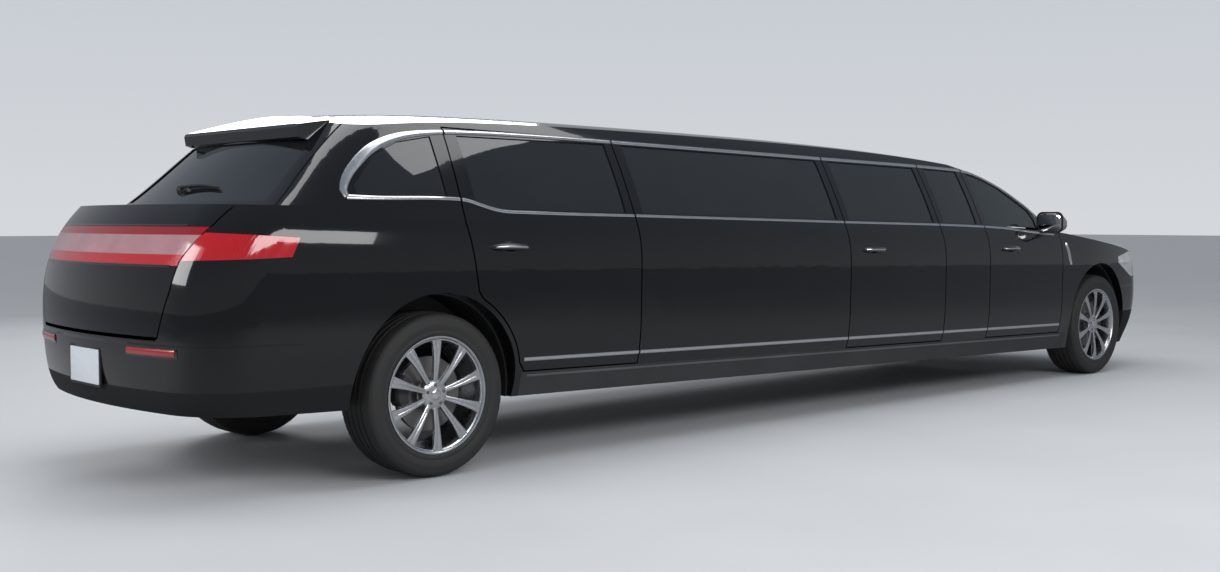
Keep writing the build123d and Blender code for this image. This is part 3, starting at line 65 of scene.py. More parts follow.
HIDDEN = (
    "tyre", "rim", "knuckle", "rear_axle", "front_links", "front_seats", "lounge_seats", "engine",
    "dashboard", "divider",
)
Point = tuple[float, float, float]
Flat = tuple[float, float]


# The frame of the body
@dataclass(frozen=True)
class Rake:
    """The level frame of the body and how it is set down."""

    rear_axle: float = -2.9184
    front_axle: float = 3.1246
    degrees: float = 1.12

    def down(self, x: float, z: float) -> Flat:
        """Sets a point of the side view down.

        Args:
            x: Place along the body, from the rear axle.
            z: Height in the level frame.

        Returns:
            The place and height in the row frame.
        """
        a = math.radians(self.degrees)
        dx = self.rear_axle + x - self.front_axle
        return (
            self.front_axle + dx * math.cos(a) + z * math.sin(a),
            -dx * math.sin(a) + z * math.cos(a),
        )

    def point(self, x: float, y: float, z: float) -> Vector:
        """A point of the level frame, x from the rear axle, in the row frame."""
        wx, wz = self.down(x, z)
        return Vector((wx, y, wz))

    def matrix(self) -> Matrix:
        """The matrix that takes a mesh of the level frame, x from the rear axle, to the row frame."""
        a = math.radians(self.degrees)
        turn = Matrix.Rotation(a, 4, "Y")
        x, z = self.down(0.0, 0.0)
        return Matrix.Translation((x, 0.0, z)) @ turn


RAKE = Rake()


class Side(Enum):
    """The two sides of the car."""

    LEFT = 1
    RIGHT = -1

    @property
    def word(self) -> str:
        """The side's name in lower case."""
        return self.name.lower()


class End(Enum):
    """The two axles."""

    FRONT = "front"
    REAR = "rear"


# Shader maths
class Sock:
    """A socket of a node tree that can be used in Python expressions."""

    def __init__(self, tree: "Graph", socket: bpy.types.NodeSocket) -> None:
        """Wraps a socket of a tree."""
        self.tree = tree
        self.socket = socket

    def __getitem__(self, name: str) -> "Sock":
        """Another output of the same node."""
        return Sock(self.tree, self.socket.node.outputs[name])

    def math(self, kind: str, *values: "Sock | float") -> "Sock":
        """A Math node on values."""
        return self.tree.node("ShaderNodeMath", {"operation": kind}, dict(enumerate(values)))

    def __add__(self, other: "Sock | float") -> "Sock":
        """Sum."""
        return self.math("ADD", self, other)

    def __sub__(self, other: "Sock | float") -> "Sock":
        """Difference."""
        return self.math("SUBTRACT", self, other)

    def __rsub__(self, other: float) -> "Sock":
        """Difference from a number."""
        return self.math("SUBTRACT", other, self)

    def __mul__(self, other: "Sock | float") -> "Sock":
        """Product."""
        return self.math("MULTIPLY", self, other)

    __radd__ = __add__
    __rmul__ = __mul__

    def step(self, low: float, high: float) -> "Sock":
        """A smooth rise from 0 to 1.

        Args:
            low: The value where it starts.
            high: The value where it ends.

        Returns:
            The risen value.
        """
        return self.tree.node(
            "ShaderNodeMapRange",
            {"interpolation_type": "SMOOTHSTEP"},
            {"Value": self, "From Min": low, "From Max": high},
        )


class Graph:
    """A node tree with one method that makes any node."""

    def __init__(self, tree: bpy.types.NodeTree) -> None:
        """Starts the tree with no nodes."""
        self.nodes = tree.nodes
        self.links = tree.links
        self.nodes.clear()

    def node(
        self,
        kind: str,
        settings: dict[str, object] | None = None,
        inputs: dict[str | int, object] | None = None,
        output: str | int = 0,
    ) -> Sock:
        """Makes a node.

        Args:
            kind: The node's type.
            settings: Its properties, set first; "stops" gives a ramp's places and colours.
            inputs: Its sockets' values or links, by name or number.
            output: The socket handed back.

        Returns:
            The output socket.
        """
        made = self.nodes.new(kind)
        for key, value in (settings or {}).items():
            if key == "stops":
                self._ramp(made, value)
            else:
                setattr(made, key, value)
        for key, value in (inputs or {}).items():
            socket = made.inputs[key]
            if isinstance(value, Sock):
                self.links.new(value.socket, socket)
            else:
                socket.default_value = value
        return Sock(self, made.outputs[output])

    @staticmethod
    def _ramp(node: bpy.types.Node, stops: Sequence[tuple[float, Sequence[float]]]) -> None:
        """Sets a colour ramp's stops."""
        ramp = node.color_ramp
        while len(ramp.elements) < len(stops):
            ramp.elements.new(1.0)
        for element, (place, colour) in zip(ramp.elements, stops):
            element.position = place
            element.color = (*colour, 1.0)

    def close(self, kind: str, last: Sock) -> None:
        """Links the last node to the tree's output of the kind given."""
        self.links.new(last.socket, self.nodes.new(kind).inputs[0])


class Tree(Graph):
    """A material's node tree."""

    def __init__(self, name: str) -> None:
        """Starts an empty material."""
        self.material = bpy.data.materials.new(name)
        self.material.use_nodes = True
        super().__init__(self.material.node_tree)
        self._places: Sock | None = None

    @property
    def places(self) -> Sock:
        """Object coordinates."""
        if self._places is None:
            self._places = self.node("ShaderNodeTexCoord", output="Object")
        return self._places

    def axis(self, name: str) -> Sock:
        """One of X, Y and Z of the object coordinates."""
        return self.node("ShaderNodeSeparateXYZ", {}, {0: self.places}, name)

    def noise(self, scale: float, detail: float = 3.0, rough: float = 0.5) -> Sock:
        """Noise from 0 to 1 on object coordinates.

        Args:
            scale: Waves a metre.
            detail: Octaves.
            rough: How strong the fine octaves are.

        Returns:
            The noise factor.
        """
        return self.node(
            "ShaderNodeTexNoise",
            {},
            {"Vector": self.places, "Scale": scale, "Detail": detail, "Roughness": rough},
        )

    def cells(self, scale: float, feature: str = "DISTANCE_TO_EDGE") -> Sock:
        """Distances in a cell pattern on object coordinates."""
        return self.node(
            "ShaderNodeTexVoronoi", {"feature": feature}, {"Vector": self.places, "Scale": scale}
        )

    def mix(self, share: Sock | float, a: object, b: object) -> Sock:
        """A colour between two colours.

        Args:
            share: 0 for a, 1 for b.
            a: Three numbers or a socket.
            b: Three numbers or a socket.

        Returns:
            The mixed colour.
        """
        ends = {i: v if isinstance(v, Sock) else (*v, 1.0) for i, v in ((6, a), (7, b))}
        return self.node("ShaderNodeMix", {"data_type": "RGBA", "clamp_factor": True}, {0: share, **ends}, 2)

    def bump(self, height: Sock, strength: float, distance: float) -> Sock:
        """A normal bent by a height.

        Args:
            height: The height from 0 to 1.
            strength: How much of it shows.
            distance: The height's scale in metres.

        Returns:
            The normal.
        """
        return self.node(
            "ShaderNodeBump", {}, {"Strength": strength, "Distance": distance, "Height": height}
        )

    def surface(self, inputs: dict[str, object]) -> bpy.types.Material:
        """Ends the tree in a Principled shader.

        Args:
            inputs: The shader's sockets.

        Returns:
            The material.
        """
        return self.finish(self.node("ShaderNodeBsdfPrincipled", {}, inputs))

    def veil(self, inputs: dict[str, object], clear: Point, see: float, blend: float) -> bpy.types.Material:
        """Ends the tree in a Principled shader that lets light through, less at a slant.

        Args:
            inputs: The shader's sockets.
            clear: The tint of what comes through.
            see: The share that comes through head on.
            blend: How soon the slant shuts it.

        Returns:
            The material.
        """
        body = self.node("ShaderNodeBsdfPrincipled", {}, inputs)
        through = self.node("ShaderNodeBsdfTransparent", {}, {"Color": (*clear, 1.0)})
        edge = self.node("ShaderNodeLayerWeight", {}, {"Blend": blend}, "Facing")
        share = 1 - (1 - edge) * see
        return self.finish(self.node("ShaderNodeMixShader", {}, {0: share, 1: through, 2: body}))

    def finish(self, shader: Sock) -> bpy.types.Material:
        """Links a shader to the material's output."""
        self.close("ShaderNodeOutputMaterial", shader)
        return self.material


# Finishes
@dataclass(frozen=True)
class Finish:
    """The base of every finish: a name and how its material is made."""

    name: str

    def build(self) -> bpy.types.Material:
        """Makes the material."""
        raise NotImplementedError


@dataclass(frozen=True)
class Paint(Finish):
    """Black coachwork lacquer, with a dark moulded band below a height."""

    colour: Point = (0.0035, 0.0038, 0.0045)
    band_top: float = -1.0
    band: Point = (0.016, 0.016, 0.017)
    ledge: float = 0.652

    def build(self) -> bpy.types.Material:
        """Makes the material."""
        t = Tree(self.name)
        depth = t.noise(3.0, 4.0)
        dust = (1 - t.axis("Z").step(0.24, 0.62)) * t.noise(26.0, 5.0, 0.65)
        flake = t.cells(900.0, "F1")
        tone = t.mix(depth, self.colour, tuple(c * 1.5 for c in self.colour))
        tone = t.mix(dust * 0.05, tone, (0.10, 0.09, 0.08))
        rough = dust * 0.22 + flake * 0.03 + 0.10
        coat: Sock | float = 1.0
        if self.band_top > 0:
            low = 1 - t.axis("Z").step(self.band_top - 0.003, self.band_top + 0.003)
            grain = t.noise(420.0, 2.0)
            tone = t.mix(low, tone, self.band)
            rough = rough + low * (grain * 0.2 + 0.35)
            coat = 1 - low
        relief = t.noise(190.0, 1.0) * 0.012
        if self.band_top > 0:
            relief = relief + t.axis("Z").step(self.ledge - 0.012, self.ledge) * 12.0
        peel = t.bump(relief, 1.0, 0.001)
        return t.surface({
            "Base Color": tone, "Roughness": rough, "Coat Weight": coat,
            "Coat Roughness": 0.03, "Specular IOR Level": 0.12, "Normal": peel,
        })


@dataclass(frozen=True)
class Metal(Finish):
    """Bright metal with a fine grain and faint smears."""

    colour: Point = (0.78, 0.79, 0.80)
    rough: float = 0.10
    smear: float = 0.12
    grain: float = 0.04

    def build(self) -> bpy.types.Material:
        """Makes the material."""
        t = Tree(self.name)
        smear = t.noise(14.0, 4.0)
        grain = t.noise(700.0, 2.0)
        tone = t.mix(smear, tuple(c * 0.88 for c in self.colour), self.colour)
        return t.surface({
            "Base Color": tone, "Metallic": 1.0,
            "Roughness": smear * self.smear + self.rough,
            "Normal": t.bump(grain, self.grain, 0.0004),
        })


@dataclass(frozen=True)
class Glass(Finish):
    """Tinted pane: a dark body that lets some light through, less at a slant."""

    tint: Point = (0.010, 0.012, 0.014)
    see: float = 0.16

    def build(self) -> bpy.types.Material:
        """Makes the material."""
        t = Tree(self.name)
        streak = t.noise(5.0, 4.0)
        tone = t.mix(streak, self.tint, tuple(c * 1.5 for c in self.tint))
        return t.veil({
            "Base Color": tone, "Roughness": streak * 0.02 + 0.015, "Coat Weight": 0.6,
            "Coat Roughness": 0.01, "Specular IOR Level": 0.6,
            "Normal": t.bump(t.noise(9.0, 1.0), 0.01, 0.002),
        }, (0.55, 0.60, 0.62), self.see, 0.35)


@dataclass(frozen=True)
class Lens(Finish):
    """Moulded lamp lens with fine upright ribs, paler along the ribs and with a faint glow; from the height
    split up it is paler, a painted highlight, and 0.08 m higher a darker red.
    """

    colour: Point = (0.42, 0.008, 0.014)
    pale: Point = (0.80, 0.30, 0.32)
    see: float = 0.0
    pitch: float = 0.012
    glow: float = 0.05
    split: float = 0.0
    upper: Point = (0.52, 0.27, 0.29)

    def build(self) -> bpy.types.Material:
        """Makes the material."""
        t = Tree(self.name)
        ribs = t.node(
            "ShaderNodeTexWave",
            {"wave_type": "BANDS", "bands_direction": "Y", "wave_profile": "SIN"},
            {"Vector": t.places, "Scale": 0.5 / self.pitch, "Distortion": 0.0}, "Fac",
        )
        blotch = t.noise(7.0, 2.0)
        tone = t.mix(ribs * 0.35 * blotch, self.colour, self.pale)
        # From the height split up the lens is paler: a painted highlight; 0.08 m higher it turns a darker
        # red.
        if self.split > 0:
            deep = tuple(c * 0.6 for c in self.colour)
            painted_highlight = t.mix(blotch, self.upper, tuple(c * 0.6 for c in self.upper))
            for low, top, layer in (
                (self.split - 0.002, self.split + 0.002, painted_highlight),
                (self.split + 0.078, self.split + 0.082, deep),
            ):
                tone = t.mix(t.axis("Z").step(low, top), tone, layer)
        body = {
            "Base Color": tone, "Roughness": ribs * 0.05 + 0.07, "Coat Weight": 1.0,
            "Coat Roughness": 0.02, "Emission Color": tone, "Emission Strength": self.glow,
            "Normal": t.bump(ribs, 0.22, 0.001),
        }
        return t.veil(body, (0.95, 0.95, 0.96), self.see, 0.25) if self.see > 0 else t.surface(body)


@dataclass(frozen=True)
class Moulded(Finish):
    """Moulded plastic or sprayed steel with a fine grain."""

    colour: Point = (0.022, 0.022, 0.023)
    rough: float = 0.5
    grain: float = 380.0
    depth: float = 0.25
    coat: float = 0.0

    def build(self) -> bpy.types.Material:
        """Makes the material."""
        t = Tree(self.name)
        grain = t.cells(self.grain)
        wear = t.noise(6.0, 5.0)
        tone = t.mix(wear, tuple(c * 0.75 for c in self.colour), tuple(c * 1.35 for c in self.colour))
        return t.surface({
            "Base Color": tone, "Roughness": wear * 0.18 + (self.rough - 0.09),
            "Coat Weight": self.coat, "Coat Roughness": 0.04,
            "Normal": t.bump(grain, self.depth, 0.0006),
        })


@dataclass(frozen=True)
class Rubber(Finish):
    """Tyre rubber: dusty black with a moulded grain."""

    colour: Point = (0.016, 0.016, 0.017)

    def build(self) -> bpy.types.Material:
        """Makes the material."""
        t = Tree(self.name)
        dust = t.noise(11.0, 5.0, 0.6)
        fine = t.noise(520.0, 3.0)
        tone = t.mix(dust, self.colour, (0.030, 0.029, 0.028))
        return t.surface({
            "Base Color": tone, "Roughness": dust * 0.14 + 0.62,
            "Normal": t.bump(fine, 0.25, 0.0008),
        })


@dataclass(frozen=True)
class Leather(Finish):
    """Seat leather with pebbled grain and soft creases."""

    colour: Point = (0.030, 0.027, 0.025)

    def build(self) -> bpy.types.Material:
        """Makes the material."""
        t = Tree(self.name)
        pebble = t.cells(260.0)
        crease = t.noise(34.0, 6.0, 0.62)
        worn = t.noise(4.0, 3.0)
        tone = t.mix(worn, self.colour, tuple(c * 1.7 for c in self.colour))
        # Darker along the grain's cell edges, where the bump is lowest: painted shade in the grain's hollows.
        tone = t.mix((1 - pebble.step(0.0, 0.12)) * 0.5, tone, tuple(c * 0.4 for c in self.colour))
        height = pebble.step(0.0, 0.16) * 0.7 + crease * 0.3
        return t.surface({
            "Base Color": tone, "Roughness": worn * 0.15 + 0.38, "Coat Weight": 0.08,
            "Normal": t.bump(height, 0.35, 0.0012),
        })


@dataclass(frozen=True)
class Carpet(Finish):
    """Cut-pile carpet."""

    colour: Point = (0.035, 0.032, 0.030)

    def build(self) -> bpy.types.Material:
        """Makes the material."""
        t = Tree(self.name)
        tuft = t.cells(420.0, "F1")
        lie = t.noise(7.0, 4.0)
        # Tone follows the tufts' bump height and is darker in the low spots: painted shade.
        tone = t.mix(tuft, tuple(c * 0.5 for c in self.colour), tuple(c * 1.6 for c in self.colour))
        tone = t.mix(lie * 0.4, tone, (0.06, 0.055, 0.05))
        return t.surface({
            "Base Color": tone, "Roughness": tuft * 0.1 + 0.85, "Sheen Weight": 0.3,
            "Normal": t.bump(tuft, 0.8, 0.003),
        })


@dataclass(frozen=True)
class Plate(Finish):
    """A blank number plate: pale enamel with faint marks."""

    colour: Point = (0.66, 0.70, 0.74)

    def build(self) -> bpy.types.Material:
        """Makes the material."""
        t = Tree(self.name)
        marks = t.noise(30.0, 5.0)
        tone = t.mix(marks, self.colour, tuple(c * 0.86 for c in self.colour))
        return t.surface({
            "Base Color": tone, "Roughness": marks * 0.2 + 0.28,
            "Normal": t.bump(t.noise(160.0, 2.0), 0.05, 0.0005),
        })


class Finishes:
    """Every finish of the car, made once."""

    def __init__(self) -> None:
        """Makes the materials."""
        table = (
            Paint("black_lacquer"),
            Paint("bumper_lacquer", band_top=0.455),
            Metal("satin_bright", (0.80, 0.81, 0.82), 0.14),
            Metal("polished_alloy", (0.70, 0.71, 0.73), 0.20, 0.14, 0.06),
            Metal("brake_iron", (0.26, 0.25, 0.24), 0.36, 0.2, 0.12),
            Metal("mirror_silver", (0.9, 0.91, 0.92), 0.02, 0.02, 0.0),
            Glass("dark_glass"),
            Glass("screen_glass", (0.014, 0.020, 0.022), 0.46),
            Lens("red_lens", (0.46, 0.002, 0.008), (0.62, 0.05, 0.07), split=1.016),
            Lens("red_tip", (0.42, 0.002, 0.006), (0.55, 0.03, 0.04), glow=0.08),
            # The reflectors' glow of 0.02 is painted light: a reflector is no lamp.
            Lens("red_reflector", (0.30, 0.006, 0.01), (0.55, 0.1, 0.1), 0.0, 0.006, 0.02),
            Lens("clear_lens", (0.62, 0.65, 0.68), (0.9, 0.92, 0.94), 0.78, 0.03, 0.02),
            Moulded("gloss_black", (0.008, 0.008, 0.009), 0.16, 500.0, 0.02, 1.0),
            Moulded("dark_moulding", (0.020, 0.020, 0.021), 0.55),
            Moulded("seal_rubber", (0.012, 0.012, 0.012), 0.62, 260.0, 0.2),
            Moulded("underseal", (0.028, 0.028, 0.030), 0.6, 120.0, 0.45),
            Moulded("cabin_grain", (0.030, 0.029, 0.030), 0.5, 300.0, 0.4),
            Moulded("step_grey", (0.075, 0.078, 0.082), 0.35, 300.0, 0.1),
            Rubber("tyre_rubber"),
            Leather("seat_leather"),
            Leather("trim_leather", (0.05, 0.045, 0.040)),
            Carpet("pile_carpet"),
            Plate("blank_enamel"),
        )
        self.made = {finish.name: finish.build() for finish in table}

    def __getitem__(self, name: str) -> bpy.types.Material:
        """The material of that name."""
        return self.made[name]


# Meshes
Verts = list[Vector]
Faces = list[tuple[int, ...]]
ALONG, ACROSS, UP = (Vector(axis) for axis in ((1, 0, 0), (0, 1, 0), (0, 0, 1)))


def circle(centre: Vector, u: Vector, v: Vector, sides: int) -> list[Vector]:
    """A ring of points about a centre, from the radius u towards the radius v."""
    turns = [TURN * k / sides for k in range(sides)]
    return [centre + u * math.cos(a) + v * math.sin(a) for a in turns]


def smooth_by_angle(obj: bpy.types.Object, degrees: float = 32.0) -> None:
    """Shades a mesh smooth and keeps its hard edges.

    Args:
        obj: The object.
        degrees: Edges that turn by more stay sharp.
    """
    mesh = obj.data
    mesh.polygons.foreach_set("use_smooth", [True] * len(mesh.polygons))
    mesh.set_sharp_from_angle(angle=math.radians(degrees))


def freeze(obj: bpy.types.Object) -> None:
    """Turns an object's modifiers into its mesh."""
    graph = bpy.context.evaluated_depsgraph_get()
    mesh = bpy.data.meshes.new_from_object(obj.evaluated_get(graph), depsgraph=graph)
    obj.modifiers.clear()
    obj.data = mesh
    mesh.name = obj.name


def make_object(name: str, verts: Iterable[Sequence[float]], faces: Iterable[Sequence[int]],
                material: bpy.types.Material, degrees: float = 32.0) -> bpy.types.Object:
    """Makes a mesh object at the origin with outward faces.

    Args:
        name: The piece's name.
        verts: Its points in the row frame.
        faces: Its faces.
        material: Its finish.
        degrees: Edges that turn by more stay sharp.

    Returns:
        The object.
    """
    mesh = bpy.data.meshes.new(name)
    mesh.from_pydata([tuple(v) for v in verts], [], [tuple(f) for f in faces])
    work = bmesh.new()
    work.from_mesh(mesh)
    bmesh.ops.remove_doubles(work, verts=work.verts, dist=1e-6)
    bmesh.ops.recalc_face_normals(work, faces=work.faces)
    work.to_mesh(mesh)
    work.free()
    mesh.materials.append(material)
    obj = bpy.data.objects.new(name, mesh)
    bpy.context.scene.collection.objects.link(obj)
    smooth_by_angle(obj, degrees)
    return obj


class Shape:
    """Points and faces that are gathered from simple forms and made one piece."""

    def __init__(self) -> None:
        """Starts empty."""
        self.verts: Verts = []
        self.faces: Faces = []

    def add(self, verts: Iterable[Sequence[float]], faces: Iterable[Sequence[int]]) -> "Shape":
        """Adds points and faces of one form."""
        start = len(self.verts)
        self.verts += [Vector(v) for v in verts]
        self.faces += [tuple(i + start for i in f) for f in faces]
        return self

    def loft(self, rings: Sequence[Sequence[Sequence[float]]], closed: bool = False) -> "Shape":
        """Joins rings of equal count.

        Args:
            rings: Closed rings of points.
            closed: Whether the last ring joins the first, instead of both being capped.

        Returns:
            This shape.
        """
        n = len(rings[0])
        verts = [p for ring in rings for p in ring]
        faces: Faces = []
        count = len(rings)
        for i in range(count if closed else count - 1):
            a, b = i * n, ((i + 1) % count) * n
            for j in range(n):
                k = (j + 1) % n
                faces.append((a + j, a + k, b + k, b + j))
        if not closed:
            faces.append(tuple(reversed(range(n))))
            faces.append(tuple(range((count - 1) * n, count * n)))
        return self.add(verts, faces)

    def spin(self, profile: Sequence[Flat], centre: Sequence[float], segments: int = 96,
             way: float = 1.0) -> "Shape":
        """Turns a closed profile about a line along Y.

        Args:
            profile: Points as distance along Y and radius.
            centre: The middle of the wheel.
            segments: How many steps a turn has.
            way: +1 or -1, which way the profile's first number runs.

        Returns:
            This shape.
        """
        c = Vector(centre)
        rings = []
        for i in range(segments):
            a = TURN * i / segments
            rings.append([
                c + Vector((r * math.sin(a), way * y, r * math.cos(a))) for y, r in profile
            ])
        return self.loft(rings, closed=True)

    def tube(self, path: Sequence[Vector], radius: Callable[[float], float] | float,
             sides: int = 12) -> "Shape":
        """A round rod along a path.

        Args:
            path: Its middle line.
            radius: Its radius, or a function of the share of the path.
            sides: How many sides it has.

        Returns:
            This shape.
        """
        rings = []
        count = len(path)
        for i, p in enumerate(path):
            ahead = path[min(i + 1, count - 1)] - path[max(i - 1, 0)]
            ahead.normalize()
            u = ahead.orthogonal().normalized() if i == 0 else (u - ahead * u.dot(ahead)).normalized()
            r = radius(i / (count - 1)) if callable(radius) else radius
            rings.append(circle(p, u * r, ahead.cross(u) * r, sides))
        return self.loft(rings)

    def slab(self, outline: Sequence[Vector], lift: Vector, edge: float = 0.0) -> "Shape":
        """A plate between an outline and the same outline moved by lift.

        Args:
            outline: A closed flat outline.
            lift: From its back to its face.
            edge: How far the face's rim is drawn in, for a soft edge.

        Returns:
            This shape.
        """
        centre = sum(outline, Vector()) / len(outline)
        reach = max((p - centre).length for p in outline)
        k = 1 - edge / reach
        face = [centre + (p - centre) * k + lift for p in outline]
        shoulder = [p + lift * 0.7 for p in outline]
        return self.loft([list(outline), shoulder, face])

    def object(self, name: str, material: bpy.types.Material, degrees: float = 32.0) -> bpy.types.Object:
        """Makes the piece."""
        return make_object(name, self.verts, self.faces, material, degrees)


def rounded(width: float, height: float, radius: float, steps: int = 5) -> list[Flat]:
    """A rectangle with round corners about the origin.

    Args:
        width: Its width.
        height: Its height.
        radius: Its corners' radius.
        steps: Points a corner.

    Returns:
        The outline's points.
    """
    a, b = width / 2 - radius, height / 2 - radius
    out = []
    for i, (sx, sy) in enumerate(((1, 1), (-1, 1), (-1, -1), (1, -1))):
        for j in range(steps + 1):
            t = math.pi / 2 * (i + j / steps)
            out.append((sx * a + radius * math.cos(t), sy * b + radius * math.sin(t)))
    return out


# The surfaces that carry trim
@dataclass
class Hit:
    """A point on the bodywork."""

    point: Vector
    normal: Vector
    node: str


class Skin:
    """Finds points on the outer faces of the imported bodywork."""

    def __init__(self, nodes: dict[str, bpy.types.Object], names: Sequence[str]) -> None:
        """Gathers the faces of the nodes named."""
        verts: Verts = []
        faces: Faces = []
        self.owner: list[str] = []
        for name in names:
            mesh = nodes[name].data
            start = len(verts)
            verts += [v.co.copy() for v in mesh.vertices]
            for polygon in mesh.polygons:
                faces.append(tuple(i + start for i in polygon.vertices))
                self.owner.append(name)
        self.tree = BVHTree.FromPolygons(verts, faces)

    def cast(self, start: Vector, way: Vector) -> Hit | None:
        """The first face on a ray.

        Args:
            start: Where the ray starts.
            way: Its direction.

        Returns:
            The hit, with its normal against the ray, or None.
        """
        point, normal, index, _ = self.tree.ray_cast(start, way)
        if point is None:
            return None
        if normal.dot(way) > 0:
            normal = -normal
        return Hit(point, normal, self.owner[index])

    def side(self, x: float, z: float, side: Side) -> Hit | None:
        """The side wall at a point of the level frame's side view, x from the rear axle."""
        wx, wz = RAKE.down(x, z)
        return self.cast(Vector((wx, side.value * 2.0, wz)), Vector((0, -side.value, 0)))

    def end(self, y: float, z: float, way: int) -> Hit | None:
        """The tail (way -1) or nose (way 1) at a width and a height of the row frame."""
        return self.cast(Vector((way * 6.0, y, z)), Vector((-way, 0, 0)))


@dataclass(frozen=True)
class Stop:
    """A point of a strip in the side view: place from the rear axle, height, width."""

    x: float
    z: float
    width: float


class Strip:
    """A crowned strip that follows the bodywork and is split where one body ends."""

    step = 0.004
    keep = 8
    sink = 0.0015

    def __init__(self, skin: Skin, bodies: dict[str, str], proud: float) -> None:
        """Sets what the strip lies on.

        Args:
            skin: The bodywork.
            bodies: The body of each node.
            proud: How far the strip stands off the bodywork.
        """
        self.skin = skin
        self.bodies = bodies
        self.proud = proud

    @staticmethod
    def curve(stops: Sequence[Stop], step: float) -> list[Stop]:
        """Points along a smooth line through the stops.

        Args:
            stops: The stops.
            step: The distance between points.

        Returns:
            The points.
        """
        out: list[Stop] = []
        for i in range(len(stops) - 1):
            p = [stops[max(i - 1, 0)], stops[i], stops[i + 1], stops[min(i + 2, len(stops) - 1)]]
            length = math.hypot(p[2].x - p[1].x, p[2].z - p[1].z)
            count = max(1, round(length / step))
            before = max(math.hypot(p[1].x - p[0].x, p[1].z - p[0].z), 1e-6)
            after = max(math.hypot(p[3].x - p[2].x, p[3].z - p[2].z), 1e-6)
            for j in range(count):
                t = j / count
                values = []
                for k in ("x", "z"):
                    a, b, c, d = (getattr(q, k) for q in p)
                    start = (c - b) if p[0] is p[1] else ((b - a) / before * length + (c - b)) / 2
                    stop = (c - b) if p[2] is p[3] else ((d - c) / after * length + (c - b)) / 2
                    values.append(
                        b + t * start + t * t * (3 * (c - b) - 2 * start - stop)
                        + t ** 3 * (start + stop - 2 * (c - b))
                    )
                out.append(Stop(*values, p[1].width + (p[2].width - p[1].width) * t))
        out.append(stops[-1])
        return out

    def runs(self, points: Sequence[Stop], side: Side) -> list[tuple[str, list[tuple[Hit, float]]]]:
        """Splits a line where the body under it changes or the shut gap opens.

        Args:
            points: The line.
            side: The side of the car.

        Returns:
            Each run's body, and its hits with their widths.
        """
        out: list[tuple[str, list[tuple[Hit, float]]]] = []
        last_y: float | None = None
        open_run = False
        for p in points:
            hit = self.skin.side(p.x, p.z, side)
            if hit is None:
                open_run = False
                continue
            y = abs(hit.point.y)
            if last_y is not None and y < last_y - 0.005:
                open_run = False
                continue
            last_y = y
            body = self.bodies[hit.node]
            if not open_run or out[-1][0] != body:
                out.append((body, []))
            out[-1][1].append((hit, p.width))
            open_run = True
        return [run for run in out if len(run[1]) > 6]

    def lay(self, shape: Shape, run: Sequence[tuple[Hit, float]]) -> None:
        """Adds one run's strip to a shape."""
        kept = [run[i] for i in range(0, len(run) - 1, self.keep)] + [run[-1]]
        if len(kept) < 2:
            return
        points = [h.point for h, _ in kept]
        normals = []
        for i in range(len(kept)):
            near = kept[max(0, i - 2): i + 3]
            normals.append(sum((h.normal for h, _ in near), Vector()).normalized())
        half = [(1.0, -self.sink), (1.0, 0.45 * self.proud), (0.72, 0.9 * self.proud)]
        section = [(-u, v) for u, v in half] + [(0.0, self.proud)] + half[::-1]
        rings = []
        for i, (_, width) in enumerate(kept):
            ahead = (points[min(i + 1, len(points) - 1)] - points[max(i - 1, 0)]).normalized()
            n = normals[i]
            across = n.cross(ahead).normalized()
            rings.append([points[i] + across * (u * width / 2) + n * v for u, v in section])
        shape.loft(rings)

    def build(self, stops: Sequence[Stop], side: Side, shapes: dict[str, Shape]) -> None:
        """Adds the strip to the shapes of the bodies that carry it.

        Args:
            stops: Its line.
            side: The side of the car.
            shapes: The shapes by body.
        """
        for body, run in self.runs(self.curve(stops, self.step), side):
            self.lay(shapes.setdefault(body, Shape()), run)


